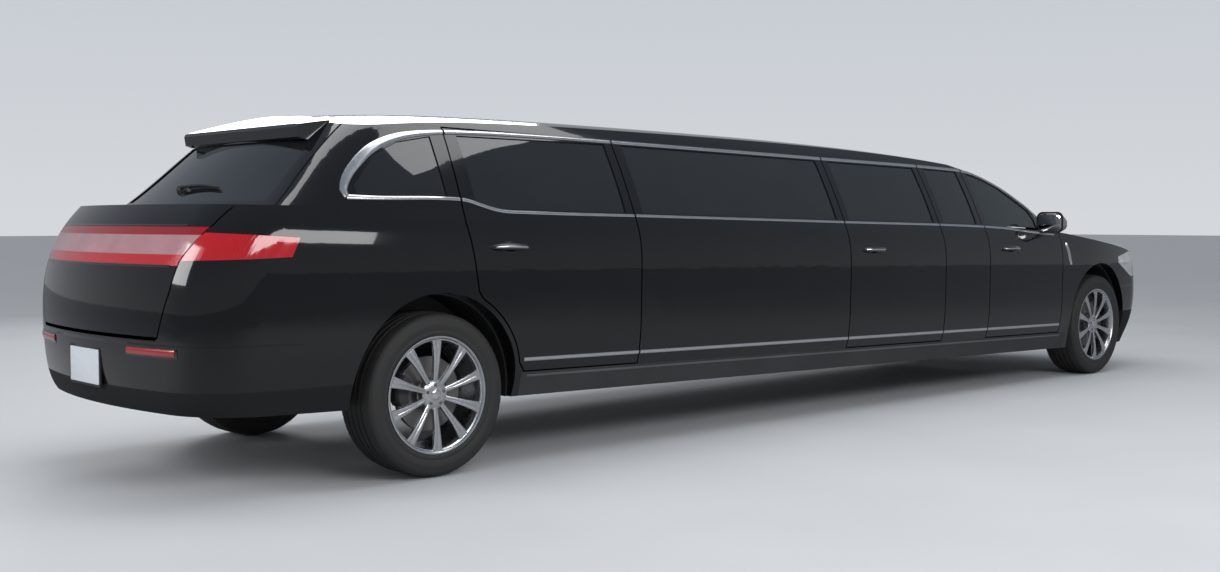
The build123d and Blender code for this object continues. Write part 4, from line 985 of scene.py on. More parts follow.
# Repeats by Geometry Nodes
class Repeats:
    """Two node groups: one turns copies about a wheel's line, one sets stitches along a line."""

    thread_sides = 6
    thread = 0.0009
    stitch_share = 0.62

    def __init__(self) -> None:
        """Builds both groups."""
        self.turned = self._turned()
        self.stitched = self._stitched()

    @staticmethod
    def _group(name: str, inputs: dict[str, str]) -> tuple[Graph, Sock]:
        """Starts a group with a geometry input and output and the inputs named, by their kinds."""
        group = bpy.data.node_groups.new(name, "GeometryNodeTree")
        group.interface.new_socket("Geometry", in_out="OUTPUT", socket_type="NodeSocketGeometry")
        group.interface.new_socket("Geometry", in_out="INPUT", socket_type="NodeSocketGeometry")
        for label, kind in inputs.items():
            group.interface.new_socket(label, in_out="INPUT", socket_type=f"NodeSocket{kind}")
        graph = Graph(group)
        return graph, graph.node("NodeGroupInput")

    @staticmethod
    def _end(graph: Graph, instances: Sock, given: Sock) -> bpy.types.NodeTree:
        """Realizes the instances, sets their finish, links the output and hands the group back."""
        real = graph.node("GeometryNodeRealizeInstances", {}, {0: instances})
        made = graph.node("GeometryNodeSetMaterial", {}, {"Geometry": real, "Material": given["Finish"]})
        graph.close("NodeGroupOutput", made)
        return made.socket.id_data

    def _turned(self) -> bpy.types.NodeTree:
        """Copies of a piece, turned in equal steps about a line along Y."""
        g, given = self._group("turned_copies", {
            "Count": "Int", "Step": "Float", "Centre": "Vector", "Finish": "Material",
        })
        line = g.node("GeometryNodeMeshLine", {}, {
            "Count": given["Count"], "Start Location": given["Centre"], "Offset": (0, 0, 0),
        })
        back = g.node("ShaderNodeVectorMath", {"operation": "SCALE"}, {0: given["Centre"], "Scale": -1.0})
        shift = g.node("GeometryNodeTransform", {}, {"Geometry": given["Geometry"], "Translation": back})
        angle = g.node("GeometryNodeInputIndex") * given["Step"]
        euler = g.node("ShaderNodeCombineXYZ", {}, {"Y": angle})
        turn = g.node("FunctionNodeEulerToRotation", {}, {0: euler})
        put = g.node("GeometryNodeInstanceOnPoints", {}, {
            "Points": line, "Instance": shift, "Rotation": turn,
        })
        return self._end(g, put, given)

    def _stitched(self) -> bpy.types.NodeTree:
        """Short stitches along a line of edges."""
        g, given = self._group("stitch_line", {
            "Pitch": "Float", "Length": "Float", "Thread": "Float", "Finish": "Material",
        })
        curve = g.node("GeometryNodeMeshToCurve", {}, {0: given["Geometry"]})
        points = g.node("GeometryNodeCurveToPoints", {"mode": "LENGTH"}, {
            "Curve": curve, "Length": given["Pitch"],
        })
        bar = g.node("GeometryNodeMeshCylinder", {}, {
            "Vertices": self.thread_sides, "Radius": given["Thread"], "Depth": given["Length"],
        })
        put = g.node("GeometryNodeInstanceOnPoints", {}, {
            "Points": points, "Instance": bar, "Rotation": points["Rotation"],
        })
        return self._end(g, put, given)

    @staticmethod
    def _run(obj: bpy.types.Object, group: bpy.types.NodeTree, values: dict[str, object]) -> bpy.types.Object:
        """Runs a group on an object and leaves a plain mesh.

        Args:
            obj: The object whose mesh goes in.
            group: The group.
            values: The inputs by name.

        Returns:
            The same object with the made mesh.
        """
        modifier = obj.modifiers.new("repeat", "NODES")
        modifier.node_group = group
        for item in group.interface.items_tree:
            if item.in_out == "INPUT" and item.name in values:
                modifier[item.identifier] = values[item.name]
        freeze(obj)
        return obj

    def turn(self, obj: bpy.types.Object, count: int, centre: Vector, material: bpy.types.Material) -> None:
        """Repeats a piece about a wheel's line.

        Args:
            obj: The piece, in its first place.
            count: How many copies a turn has.
            centre: A point on the line.
            material: The finish of the copies.
        """
        self._run(obj, self.turned, {
            "Count": count, "Step": TURN / count, "Centre": tuple(centre), "Finish": material,
        })

    def stitch(self, name: str, path: Sequence[Vector], material: bpy.types.Material,
               pitch: float = 0.009) -> bpy.types.Object:
        """Sets stitches along a path.

        Args:
            name: The piece's name.
            path: The seam's line.
            material: The thread.
            pitch: From one stitch to the next.

        Returns:
            The stitches.
        """
        mesh = bpy.data.meshes.new(name)
        mesh.from_pydata([tuple(p) for p in path], [(i, i + 1) for i in range(len(path) - 1)], [])
        obj = bpy.data.objects.new(name, mesh)
        bpy.context.scene.collection.objects.link(obj)
        return self._run(obj, self.stitched, {
            "Pitch": pitch, "Length": pitch * self.stitch_share, "Thread": self.thread, "Finish": material,
        })


# What every sub-assembly is given
@dataclass
class Shop:
    """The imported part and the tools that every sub-assembly uses."""

    nodes: dict[str, bpy.types.Object]
    bodies: dict[str, str]
    finish: Finishes
    skin: Skin
    repeats: Repeats

    def ride(self, obj: bpy.types.Object, body: str, slot: str | None = None,
             replaces: Sequence[str] = ()) -> bpy.types.Object:
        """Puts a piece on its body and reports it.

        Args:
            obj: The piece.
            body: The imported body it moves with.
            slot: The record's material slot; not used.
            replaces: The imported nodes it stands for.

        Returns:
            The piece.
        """
        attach(obj, body)
        if replaces:
            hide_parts(*replaces)
        LOG.info("%s rides on %s, %d faces", obj.name, body, len(obj.data.polygons))
        return obj

    def put(self, shape: Shape, name: str, finish: str, body: str, slot: str, degrees: float,
            replaces: Sequence[str] = ()) -> None:
        """Makes a piece of a shape and puts it on its body.

        Args:
            shape: The shape.
            name: The piece's name.
            finish: Its finish.
            body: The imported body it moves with.
            slot: The record's material slot.
            degrees: Edges that turn by more stay sharp.
            replaces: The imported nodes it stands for.
        """
        self.ride(shape.object(name, self.finish[finish], degrees), body, slot, replaces)

    def tile(self, name: str, centre: Vector, flat: Sequence[Flat], thick: float, edge: float,
             finish: str, body: str, slot: str) -> None:
        """A flat tile across the car that faces the tail, on its body.

        Args:
            name: The piece's name.
            centre: The middle of its back.
            flat: Its outline.
            thick: Its thickness.
            edge: How far its face's rim is drawn in.
            finish: Its finish.
            body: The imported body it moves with.
            slot: The record's material slot.
        """
        outline = [centre + Vector((0, -y, z)) for y, z in flat]
        self.put(Shape().slab(outline, ALONG * -thick, edge), name, finish, body, slot, 30.0)


@dataclass
class Bodywork:
    """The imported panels, glass and running gear with their finishes."""

    shop: Shop
    table: Sequence[tuple[str, str]] = (
        ("bumper_lacquer", "rear_bumper front_bumper"),
        ("screen_glass", "windscreen front_door_glass_left front_door_glass_right"),
        ("dark_glass", "rear_door_glass_left rear_door_glass_right middle_door_glass_right stretch_glass"),
        ("dark_glass", "quarter_glass tailgate_glass"),
        ("red_lens", "tail_lamp_bar"),
        ("red_tip", "tail_lamp_corners"),
        ("clear_lens", "headlamps"),
        ("satin_bright", "grille"),
        ("gloss_black", "spoiler mirror_left mirror_right"),
        ("dark_moulding", "cowl wheel_housings"),
        ("underseal", "floor_pan front_rails front_links rear_axle"),
        ("brake_iron", "knuckle_left knuckle_right engine"),
        ("cabin_grain", "dashboard"),
        ("trim_leather", "divider steering_wheel"),
        ("seat_leather", "front_seats lounge_seats"),
    )

    def build(self) -> None:
        """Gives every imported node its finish; what the table doesn't name is painted."""
        table = {name: finish for finish, names in self.table for name in names.split()}
        for name, node in self.shop.nodes.items():
            if name.startswith("tyre"):
                finish = "tyre_rubber"
            elif name.startswith("rim"):
                finish = "polished_alloy"
            else:
                finish = table.get(name, "black_lacquer")
            node.data.materials.clear()
            node.data.materials.append(self.shop.finish[finish])


@dataclass(frozen=True)
class Trim:
    """A strip along both sides: how far it stands off, its finish, its slot and its line."""

    name: str
    proud: float
    finish: str
    slot: str
    stops: Sequence[Stop]


@dataclass
class Brightwork:
    """The bright window surround, the belt line, the rocker strip and the step line."""

    shop: Shop
    strips: Sequence[Trim] = (
        Trim("window_surround", 0.006, "satin_bright", "bright", (
            Stop(-0.452, 1.128, 0.026), Stop(-0.462, 1.150, 0.034), Stop(-0.440, 1.200, 0.040),
            Stop(-0.350, 1.290, 0.046), Stop(-0.262, 1.352, 0.044), Stop(-0.120, 1.408, 0.036),
            Stop(0.060, 1.440, 0.028), Stop(0.300, 1.455, 0.024), Stop(0.700, 1.463, 0.022),
            Stop(1.400, 1.464, 0.022), Stop(2.900, 1.464, 0.022), Stop(4.300, 1.462, 0.022),
            Stop(4.520, 1.456, 0.022), Stop(4.752, 1.424, 0.022), Stop(4.945, 1.368, 0.022),
            Stop(5.150, 1.278, 0.022), Stop(5.300, 1.208, 0.020), Stop(5.350, 1.160, 0.018),
        )),
        Trim("belt_strip", 0.005, "satin_bright", "bright", (
            Stop(-0.452, 1.128, 0.022), Stop(-0.300, 1.128, 0.018), Stop(0.060, 1.136, 0.016),
            Stop(0.180, 1.130, 0.016), Stop(0.262, 1.108, 0.016), Stop(0.360, 1.087, 0.016),
            Stop(0.520, 1.083, 0.016), Stop(1.300, 1.083, 0.015), Stop(2.900, 1.082, 0.015),
            Stop(4.400, 1.080, 0.015), Stop(4.750, 1.072, 0.015), Stop(5.040, 1.053, 0.015),
            Stop(5.230, 1.042, 0.014), Stop(5.380, 1.036, 0.012),
        )),
        Trim("rocker_strip", 0.005, "satin_bright", "bright", (
            Stop(0.470, 0.392, 0.018), Stop(5.440, 0.392, 0.018),
        )),
        Trim("step_strip", 0.004, "step_grey", "plastic", (
            Stop(0.500, 0.312, 0.012), Stop(5.480, 0.312, 0.012),
        )),
    )

    def build(self) -> None:
        """Lays the strips on both sides, one piece a body."""
        for trim in self.strips:
            shapes: dict[str, Shape] = {}
            strip = Strip(self.shop.skin, self.shop.bodies, trim.proud)
            for side in Side:
                strip.build(trim.stops, side, shapes)
            for body, shape in shapes.items():
                self.shop.put(shape, f"{trim.name}_{body}", trim.finish, body, trim.slot, 40.0)


@dataclass
class Handles:
    """Door handles: a black grip with a bright blade over a cup in the door."""

    shop: Shop
    length: float = 0.215
    bow: float = 0.034
    grip: Flat = (0.0135, 0.0065)
    blade: Point = (0.90, 0.0042, 0.0016)
    cup: Flat = (0.052, 0.026)
    rows: Sequence[tuple[str, float, float, tuple[Side, ...]]] = (
        ("rear", 0.375, 0.918, (Side.LEFT, Side.RIGHT)),
        ("middle", 3.195, 0.918, (Side.RIGHT,)),
        ("front", 4.755, 0.930, (Side.LEFT, Side.RIGHT)),
    )

    def build(self) -> None:
        """Makes the handles of every door."""
        for word, x, z, sides in self.rows:
            for side in sides:
                self._one(word, x, z, side)

    def _one(self, word: str, x: float, z: float, side: Side) -> None:
        """One handle: grip, blade and cup."""
        body = f"door_{word}_{side.word}"
        hits = [self.shop.skin.side(x + d, z, side) for d in (-self.length / 2, 0.0, self.length / 2)]
        if any(h is None for h in hits):
            LOG.warning("no wall under the %s handle", body)
            return
        out = hits[1].normal
        along = (hits[2].point - hits[0].point).normalized()
        up = along.cross(out)
        up = up if up.z > 0 else -up
        middle = hits[1].point

        def at(u: float, v: float, w: float) -> Vector:
            """A point by place along, up and out from the wall."""
            return middle + along * u + up * v + out * w

        half = self.length / 2
        stations = [i / 8 - 1 for i in range(17)]
        grip = [
            circle(at(s * half, 0.0, self.lift(s) + 0.002), up * (self.grip[0] * (1 - 0.42 * abs(s) ** 4)),
                   out * self.grip[1], 14)
            for s in stations
        ]
        share, wide, thick = self.blade
        stations = [(i / 7 - 1) * share for i in range(15)]
        blade = [
            circle(at(s * half, -0.001, self.lift(s) + 0.0085), up * wide, out * thick, 8)
            for s in stations
        ]
        cup = [
            circle(at(0.0, 0.0, sink), along * (self.cup[0] * scale), up * (self.cup[1] * scale), 28)
            for scale, sink in ((1.0, -0.002), (1.0, 0.0012), (0.94, 0.0022), (0.80, 0.0012), (0.30, 0.0006))
        ]
        for name, rings, finish, slot in (
            ("handle", grip, "gloss_black", "gloss_black"),
            ("handle_blade", blade, "satin_bright", "bright"),
            ("handle_cup", cup, "gloss_black", "gloss_black"),
        ):
            self.shop.put(Shape().loft(rings), f"{name}_{word}_{side.word}", finish, body, slot, 50.0)

    def lift(self, s: float) -> float:
        """How far the bow of the grip stands off the cup, at a share of its half length."""
        return self.bow * (1 - abs(s) ** 3.2)


@dataclass
class Vents:
    """The upright bright vents behind the front wheels."""

    shop: Shop
    points: Sequence[tuple[float, float, float]] = (
        (5.525, 0.978, 0.010), (5.532, 0.950, 0.016), (5.548, 0.905, 0.019),
        (5.562, 0.858, 0.017), (5.576, 0.822, 0.010),
    )

    def build(self) -> None:
        """Makes one vent on each side."""
        for side in Side:
            rings = []
            for p in Strip.curve([Stop(*point) for point in self.points], 0.006):
                row = [self.shop.skin.side(p.x + d * p.width, p.z, side) for d in (-1, -0.6, 0, 0.6, 1)]
                if any(h is None for h in row):
                    continue
                lift = (0.001, 0.005, 0.009, 0.005, 0.001)
                back = [h.point - h.normal * 0.002 for h in (row[-1], row[0])]
                rings.append([h.point + h.normal * t for h, t in zip(row, lift)] + back)
            self.shop.put(
                Shape().loft(rings), f"fender_vent_{side.word}", "satin_bright", "body", "bright", 45.0)


@dataclass(frozen=True)
class TreadRow:
    """A ring of tread blocks: from and to, its shift and slant in pitches, its radius at each edge."""

    start: float
    stop: float
    phase: float
    skew: float
    start_radius: float
    stop_radius: float


@dataclass
class Wheel:
    """A tyre with a block tread, and a ten-spoke rim with its disc."""

    shop: Shop
    end: End
    side: Side
    centre_y: float = 0.812
    radius: float = 0.372
    spokes: int = 10
    nuts: int = 5
    vanes: int = 36
    blocks: int = 62
    nut_circle: float = 0.0445
    spoke_reach: Flat = (0.052, 0.2495)
    half_profile: Sequence[Flat] = (
        (0.1135, 0.2668), (0.1190, 0.2720), (0.1205, 0.2800), (0.1212, 0.2900), (0.1204, 0.2912),
        (0.1240, 0.3020), (0.1262, 0.3140), (0.1270, 0.3260), (0.1262, 0.3275), (0.1258, 0.3380),
        (0.1228, 0.3480), (0.1180, 0.3560), (0.1110, 0.3620), (0.1020, 0.3662), (0.0800, 0.3688),
        (0.0625, 0.3698), (0.0612, 0.3630), (0.0540, 0.3630), (0.0527, 0.3702), (0.0245, 0.3706),
        (0.0232, 0.3636), (0.0160, 0.3636), (0.0147, 0.3707),
    )
    tread: Sequence[TreadRow] = (
        TreadRow(0.066, 0.112, 0.0, 0.10, 0.3696, 0.3618),
        TreadRow(0.0285, 0.0505, 0.35, 0.22, 0.3703, 0.3702),
        TreadRow(-0.0125, 0.0125, 0.70, 0.0, 0.3706, 0.3706),
        TreadRow(-0.0505, -0.0285, 0.20, -0.22, 0.3702, 0.3703),
        TreadRow(-0.112, -0.066, 0.55, -0.10, 0.3618, 0.3696),
    )
    spoke_section: Sequence[Flat] = (
        (-1.0, -0.35), (-0.93, -0.06), (-0.62, 0.0), (-0.16, -0.004), (0.0, -0.075), (0.16, -0.004),
        (0.62, 0.0), (0.93, -0.06), (1.0, -0.35), (0.62, -1.0), (-0.62, -1.0),
    )
    rim_profile: Sequence[Flat] = (
        (0.1175, 0.2658), (0.1180, 0.2590), (0.1150, 0.2555), (0.1085, 0.2530), (0.1060, 0.2470),
        (0.0980, 0.2430), (0.0600, 0.2395), (-0.0200, 0.2365), (-0.0900, 0.2400), (-0.1110, 0.2520),
        (-0.1180, 0.2570), (-0.1180, 0.2658), (-0.1100, 0.2660), (-0.1020, 0.2570), (-0.0880, 0.2480),
        (-0.0200, 0.2440), (0.0600, 0.2480), (0.1000, 0.2570), (0.1100, 0.2660),
    )

    @property
    def centre(self) -> Vector:
        """The middle of the wheel."""
        x = RAKE.front_axle if self.end is End.FRONT else RAKE.rear_axle
        return Vector((x, self.side.value * self.centre_y, self.radius))

    @property
    def tag(self) -> str:
        """The end and side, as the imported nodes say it."""
        return f"{self.end.value}_{self.side.word}"

    def place(self, across: float, out: float, up: float) -> Vector:
        """A point by distance along the car, outboard and up from the middle."""
        return self.centre + Vector((across, self.side.value * out, up))

    def at(self, out: float, radius: float, angle: float) -> Vector:
        """A point by distance outboard, radius and angle from the top."""
        return self.place(radius * math.sin(angle), out, radius * math.cos(angle))

    def spin(self, shape: Shape, profile: Sequence[Flat], segments: int) -> Shape:
        """Adds a profile turned about the wheel's line."""
        return shape.spin(profile, self.centre, segments, self.side.value)

    def _piece(self, shape: Shape, name: str, finish: str, slot: str, degrees: float, count: int = 1,
               replaces: Sequence[str] = ()) -> None:
        """Makes a piece of the wheel.

        Args:
            shape: The shape.
            name: The piece's name, without the wheel's.
            finish: Its finish.
            slot: The record's material slot.
            degrees: Edges that turn by more stay sharp.
            count: How many copies a turn has.
            replaces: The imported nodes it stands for.
        """
        material = self.shop.finish[finish]
        obj = shape.object(f"{name}_{self.tag}", material, degrees)
        if count > 1:
            self.shop.repeats.turn(obj, count, self.centre, material)
        self.shop.ride(obj, f"wheel_{self.tag}", slot, replaces)

    def build(self) -> None:
        """Makes the wheel's pieces."""
        self._tyre()
        self._rim()
        self._disc()
        self._caliper()

    def _tyre(self) -> None:
        """The carcass and its tread blocks."""
        half = list(self.half_profile)
        inner = [(-y, r) for y, r in reversed(half)]
        profile = half + inner + [(-0.060, 0.2668), (0.060, 0.2668)]
        tyre = self.spin(Shape(), profile, 120)
        self._piece(tyre, "tyre_body", "tyre_rubber", "tyre", 38.0, replaces=[f"tyre_{self.tag}"])
        tread = Shape()
        pitch = TURN / self.blocks
        for row in self.tread:
            rings = [
                [self.at(y, r + h, pitch * (row.phase + a + s))
                 for a, h in ((-0.41, -0.002), (0.41, -0.002), (0.38, 0.0013), (-0.38, 0.0013))]
                for y, r, s in ((row.start, row.start_radius, -row.skew / 2),
                                (row.stop, row.stop_radius, row.skew / 2))
            ]
            tread.loft(rings)
        self._piece(tread, "tyre_tread", "tyre_rubber", "tyre", 30.0, self.blocks)

    def _spoke(self) -> Shape:
        """One spoke: narrow at the hub, broad at the rim, with a raised back line."""
        rings = []
        start, stop = self.spoke_reach
        for i in range(13):
            t = i / 12
            r = start + (stop - start) * t
            half = 0.0115 + 0.0035 * t + 0.0125 * t ** 2.4
            face = 0.096 + 0.018 * math.sin(min(1.0, t * 1.15) * math.pi / 2) - 0.003 * t ** 3
            deep = 0.030 - 0.008 * t
            rings.append([self.place(half * u, face + v * deep, r) for u, v in self.spoke_section])
        return Shape().loft(rings)

    def _rim(self) -> None:
        """Barrel, spokes, hub, nuts and cap."""
        barrel = self.spin(Shape(), self.rim_profile, 120)
        hub = ((0.100, 0.024), (0.1015, 0.034), (0.0985, 0.046), (0.0965, 0.060), (0.0900, 0.0680),
               (0.0700, 0.0700), (0.0620, 0.0600), (0.0620, 0.0310), (0.0880, 0.0240))
        self.spin(barrel, hub, 60)
        self._piece(barrel, "rim_barrel", "polished_alloy", "rim", 34.0, replaces=[f"rim_{self.tag}"])
        self._piece(self._spoke(), "rim_spokes", "polished_alloy", "rim", 42.0, self.spokes)
        cap = self.spin(Shape(), ((0.088, 0.0005), (0.1075, 0.0005), (0.1070, 0.014), (0.1050, 0.022),
                                  (0.1010, 0.0265), (0.088, 0.0265)), 48)
        self._piece(cap, "wheel_cap", "satin_bright", "bright", 40.0)
        rings = [
            circle(self.place(0.0, out, self.nut_circle), UP * r, ALONG * r, 6)
            for out, r in ((0.090, 0.0085), (0.1010, 0.0085), (0.1035, 0.0060), (0.1045, 0.0015))
        ]
        self._piece(Shape().loft(rings), "wheel_nuts", "brake_iron", "rim", 20.0, self.nuts)

    def _disc(self) -> None:
        """The brake disc: two faces with vanes between them, and its hat."""
        disc = Shape()
        for a, b in ((0.040, 0.031), (0.023, 0.014)):
            self.spin(disc, ((a, 0.104), (a, 0.169), (a - 0.001, 0.170), (b + 0.001, 0.170), (b, 0.169),
                             (b, 0.104)), 72)
        self.spin(disc, ((0.031, 0.078), (0.062, 0.078), (0.064, 0.073), (0.064, 0.0305), (0.034, 0.0305),
                         (0.031, 0.035)), 48)
        self.spin(disc, ((0.036, 0.078), (0.036, 0.106), (0.026, 0.106), (0.026, 0.078)), 48)
        self._piece(disc, "brake_disc", "brake_iron", "steel", 30.0)
        corners = ((0.0315, -0.0025), (0.0315, 0.0025), (0.0225, 0.0025), (0.0225, -0.0025))
        rings = [[self.at(y, r, a / r) for y, a in corners] for r in (0.106, 0.166)]
        self._piece(Shape().loft(rings), "brake_vanes", "brake_iron", "steel", 30.0, self.vanes)

    def _caliper(self) -> None:
        """The brake caliper that straddles the disc, on the knuckle or the axle."""
        rings = []
        lead = -1 if self.end is End.FRONT else 1
        middle = math.radians(80.0) * -lead
        section = ((0.064, 0.124), (0.067, 0.150), (0.064, 0.176), (0.050, 0.186), (0.004, 0.186),
                   (-0.010, 0.176), (-0.012, 0.124), (0.008, 0.120), (0.008, 0.176), (0.046, 0.176),
                   (0.046, 0.120))
        for i in range(9):
            a = middle + math.radians(-24 + 6 * i)
            k = 1 - 0.06 * abs(i - 4) ** 2 / 16
            rings.append([self.at(out, r * k if r > 0.17 else r, a) for out, r in section])
        body = f"steer_{self.side.word}" if self.end is End.FRONT else "body"
        self.shop.put(Shape().loft(rings), f"brake_caliper_{self.tag}", "underseal", body, "steel", 34.0)


@dataclass
class Fitted:
    """Trim that lies on the tail or the nose and is placed by rays along the car."""

    shop: Shop

    def line(self, points: Sequence[Flat], way: int, step: float = 0.012) -> list[Hit]:
        """Hits along a line of widths and heights of the row frame.

        Args:
            points: The line's corners.
            way: -1 for the tail, 1 for the nose.
            step: The distance between hits.

        Returns:
            The hits.
        """
        hits: list[Hit] = []
        for (y0, z0), (y1, z1) in zip(points, points[1:]):
            count = max(1, round(math.hypot(y1 - y0, z1 - z0) / step))
            for i in range(count + 1):
                t = i / count
                hit = self.shop.skin.end(y0 + (y1 - y0) * t, z0 + (z1 - z0) * t, way)
                if hit is not None:
                    hits.append(hit)
        return hits

    def strip(self, name: str, points: Sequence[Flat], way: int, width: float, proud: float,
              finish: str, slot: str) -> None:
        """A crowned strip along such a line, one piece a body.

        Args:
            name: The strip's name.
            points: The line's corners.
            way: -1 for the tail, 1 for the nose.
            width: Its width.
            proud: How far it stands off.
            finish: Its finish.
            slot: The record's material slot.
        """
        layer = Strip(self.shop.skin, self.shop.bodies, proud)
        layer.keep = 2
        runs: dict[str, list[tuple[Hit, float]]] = {}
        for hit in self.line(points, way):
            runs.setdefault(self.shop.bodies[hit.node], []).append((hit, width))
        for body, run in runs.items():
            if len(run) < 5:
                continue
            shape = Shape()
            layer.lay(shape, run)
            self.shop.put(shape, f"{name}_{body}", finish, body, slot, 40.0)


@dataclass
class Tail(Fitted):
    """Lamp borders, reflectors, the blank plate and the rear wiper."""

    lamp_low: float = 0.969
    lamp_high: float = 1.134
    half: float = 0.640
    reflector_z: float = 0.617
    reflector_y: Flat = (0.38, 0.71)
    plate: Flat = (0.305, 0.152)
    plate_z: float = 0.525
    wiper: Flat = (0.06, 1.290)
    wiper_reach: float = 0.34

    def build(self) -> None:
        """Makes the tail's pieces."""
        for name, z in (("lamp_border_low", self.lamp_low), ("lamp_border_high", self.lamp_high)):
            ends = ((-self.half, z), (self.half, z))
            self.strip(name, ends, -1, 0.010, 0.003, "gloss_black", "gloss_black")
        for side in Side:
            a, b = (side.value * y for y in self.reflector_y)
            z = self.reflector_z
            self.strip(f"reflector_seat_{side.word}", ((a, z), (b, z)), -1, 0.044, 0.0025,
                       "gloss_black", "gloss_black")
            self.strip(f"reflector_{side.word}", ((a * 1.02, z), (b * 0.985, z)), -1, 0.028, 0.006,
                       "red_reflector", "lamp_red")
        self._plate()
        self._wiper()

    def _plate(self) -> None:
        """The blank plate in its frame, on the bumper."""
        hit = self.shop.skin.end(0.0, self.plate_z, -1)
        if hit is None:
            LOG.warning("no bumper under the plate")
            return
        for name, grow, corner, back, face, finish, slot in (
            ("plate_frame", 0.022, 0.012, 0.004, -0.0035, "dark_moulding", "plastic"),
            ("plate_blank", 0.0, 0.008, -0.003, -0.0050, "blank_enamel", "bright"),
        ):
            flat = rounded(self.plate[0] + grow, self.plate[1] + grow, corner)
            centre = Vector((hit.point.x + back, 0.0, self.plate_z))
            self.shop.tile(name, centre, flat, back - face, 0.0015, finish, "body", slot)

    def _wiper(self) -> None:
        """The rear wiper: a boot at the glass's foot, an arm and a blade."""
        skin = self.shop.skin
        places = [(self.wiper[0] - self.wiper_reach * t, self.wiper[1] + 0.010 * math.sin(math.pi * t))
                  for t in (i / 10 for i in range(11))]
        hits = [h for h in (skin.end(y, z, -1) for y, z in places) if h is not None]
        if len(hits) < 6:
            LOG.warning("no glass under the rear wiper")
            return
        arm = [h.point + h.normal * (0.020 - 0.006 * i / len(hits)) for i, h in enumerate(hits)]
        blade = [h.point + h.normal * 0.006 for h in hits[2:]]
        foot, out = hits[0].point, hits[0].normal
        u = out.orthogonal().normalized()
        boot = [
            circle(foot + out * lift, u * r, out.cross(u) * r, 24)
            for lift, r in ((-0.003, 0.026), (0.006, 0.025), (0.016, 0.020), (0.024, 0.016), (0.027, 0.008))
        ]
        for name, shape, degrees in (
            ("arm", Shape().tube(arm, lambda t: 0.0085 - 0.004 * t, 10), 50.0),
            ("blade", Shape().tube(blade, 0.0045, 8), 50.0),
            ("boot", Shape().loft(boot), 45.0),
        ):
            self.shop.put(shape, f"rear_wiper_{name}", "dark_moulding", "tailgate", "gloss_black", degrees)


@dataclass
class Nose(Fitted):
    """Headlamp optics and the two front wipers."""

    optics: Sequence[Point] = ((0.640, 0.812, 0.030), (0.715, 0.815, 0.027), (0.780, 0.820, 0.022))
    bowl: Sequence[Flat] = (
        (0.012, 1.0), (0.013, 0.9), (0.030, 0.74), (0.044, 0.42), (0.048, 0.12), (0.052, 0.14), (0.048, 0.50),
        (0.032, 0.86), (0.014, 1.06), (0.012, 1.04),
    )

    def build(self) -> None:
        """Makes the nose's pieces."""
        for side in Side:
            bowls = Shape()
            for y, z, radius in self.optics:
                hit = self.shop.skin.end(side.value * y, z, 1)
                if hit is None:
                    continue
                bowls.loft([
                    circle(hit.point - ALONG * sink, ACROSS * (radius * share), UP * (radius * share), 28)
                    for sink, share in self.bowl
                ], closed=True)
            self.shop.put(bowls, f"headlamp_bowls_{side.word}", "mirror_silver", "body", "bright", 40.0)
        for number, (y0, y1) in enumerate(((0.62, 0.04), (-0.02, -0.60))):
            self._wiper(number, y0, y1)

    def _wiper(self, number: int, y0: float, y1: float) -> None:
        """A front wiper, parked along the foot of the windscreen."""
        skin = self.shop.skin
        hits = []
        for i in range(15):
            t = i / 14
            y = y0 + (y1 - y0) * t
            hit = skin.end(y, 1.155 + 0.045 * (1 - (y / 0.7) ** 2) + 0.012 * math.sin(math.pi * t), 1)
            if hit is not None and hit.node == "windscreen":
                hits.append(hit)
        if len(hits) < 6:
            LOG.warning("no windscreen under wiper %d", number)
            return
        blade = [h.point + h.normal * 0.007 for h in hits]
        arm = [h.point + h.normal * 0.019 for h in hits[: len(hits) * 2 // 3]]
        shape = Shape().tube(blade, 0.005, 8).tube(arm, lambda t: 0.008 - 0.003 * t, 8)
        self.shop.put(shape, f"front_wiper_{number + 1}", "dark_moulding", "body", "plastic", 50.0)


@dataclass
class Mirrors:
    """Mirror glass in the two door mirrors."""

    shop: Shop
    place: Point = (5.215, 0.985, 1.120)
    wide: float = 0.176
    tall: float = 0.122
    corner: float = 0.040

    def build(self) -> None:
        """Makes the glass and its rim."""
        x, y, z = self.place
        for side in Side:
            centre = RAKE.point(x, side.value * y, z)
            for name, grow, back, face, finish, slot in (
                ("mirror_rim", 0.012, 0.002, -0.002, "dark_moulding", "gloss_black"),
                ("mirror_glass", 0.0, -0.001, -0.0035, "mirror_silver", "bright"),
            ):
                flat = rounded(self.wide + grow, self.tall + grow, self.corner)
                self.shop.tile(f"{name}_{side.word}", centre + ALONG * back, flat, back - face, 0.002, finish,
                               f"door_front_{side.word}", slot)


# Upholstery
@dataclass(frozen=True)
class PadSize:
    """One pad: its name, the middle of its flat face, its size, its lean and its turn in degrees.

    Channels are places across it, as shares of its width; fill, the share of its box that it fills, is not
    used.
    """

    name: str
    centre: Point
    wide: float
    deep: float
    thick: float
    lean: float = 0.0
    turn: float = 0.0
    channels: tuple[float, ...] = (-0.34, 0.34)
    fill: float = 0.75


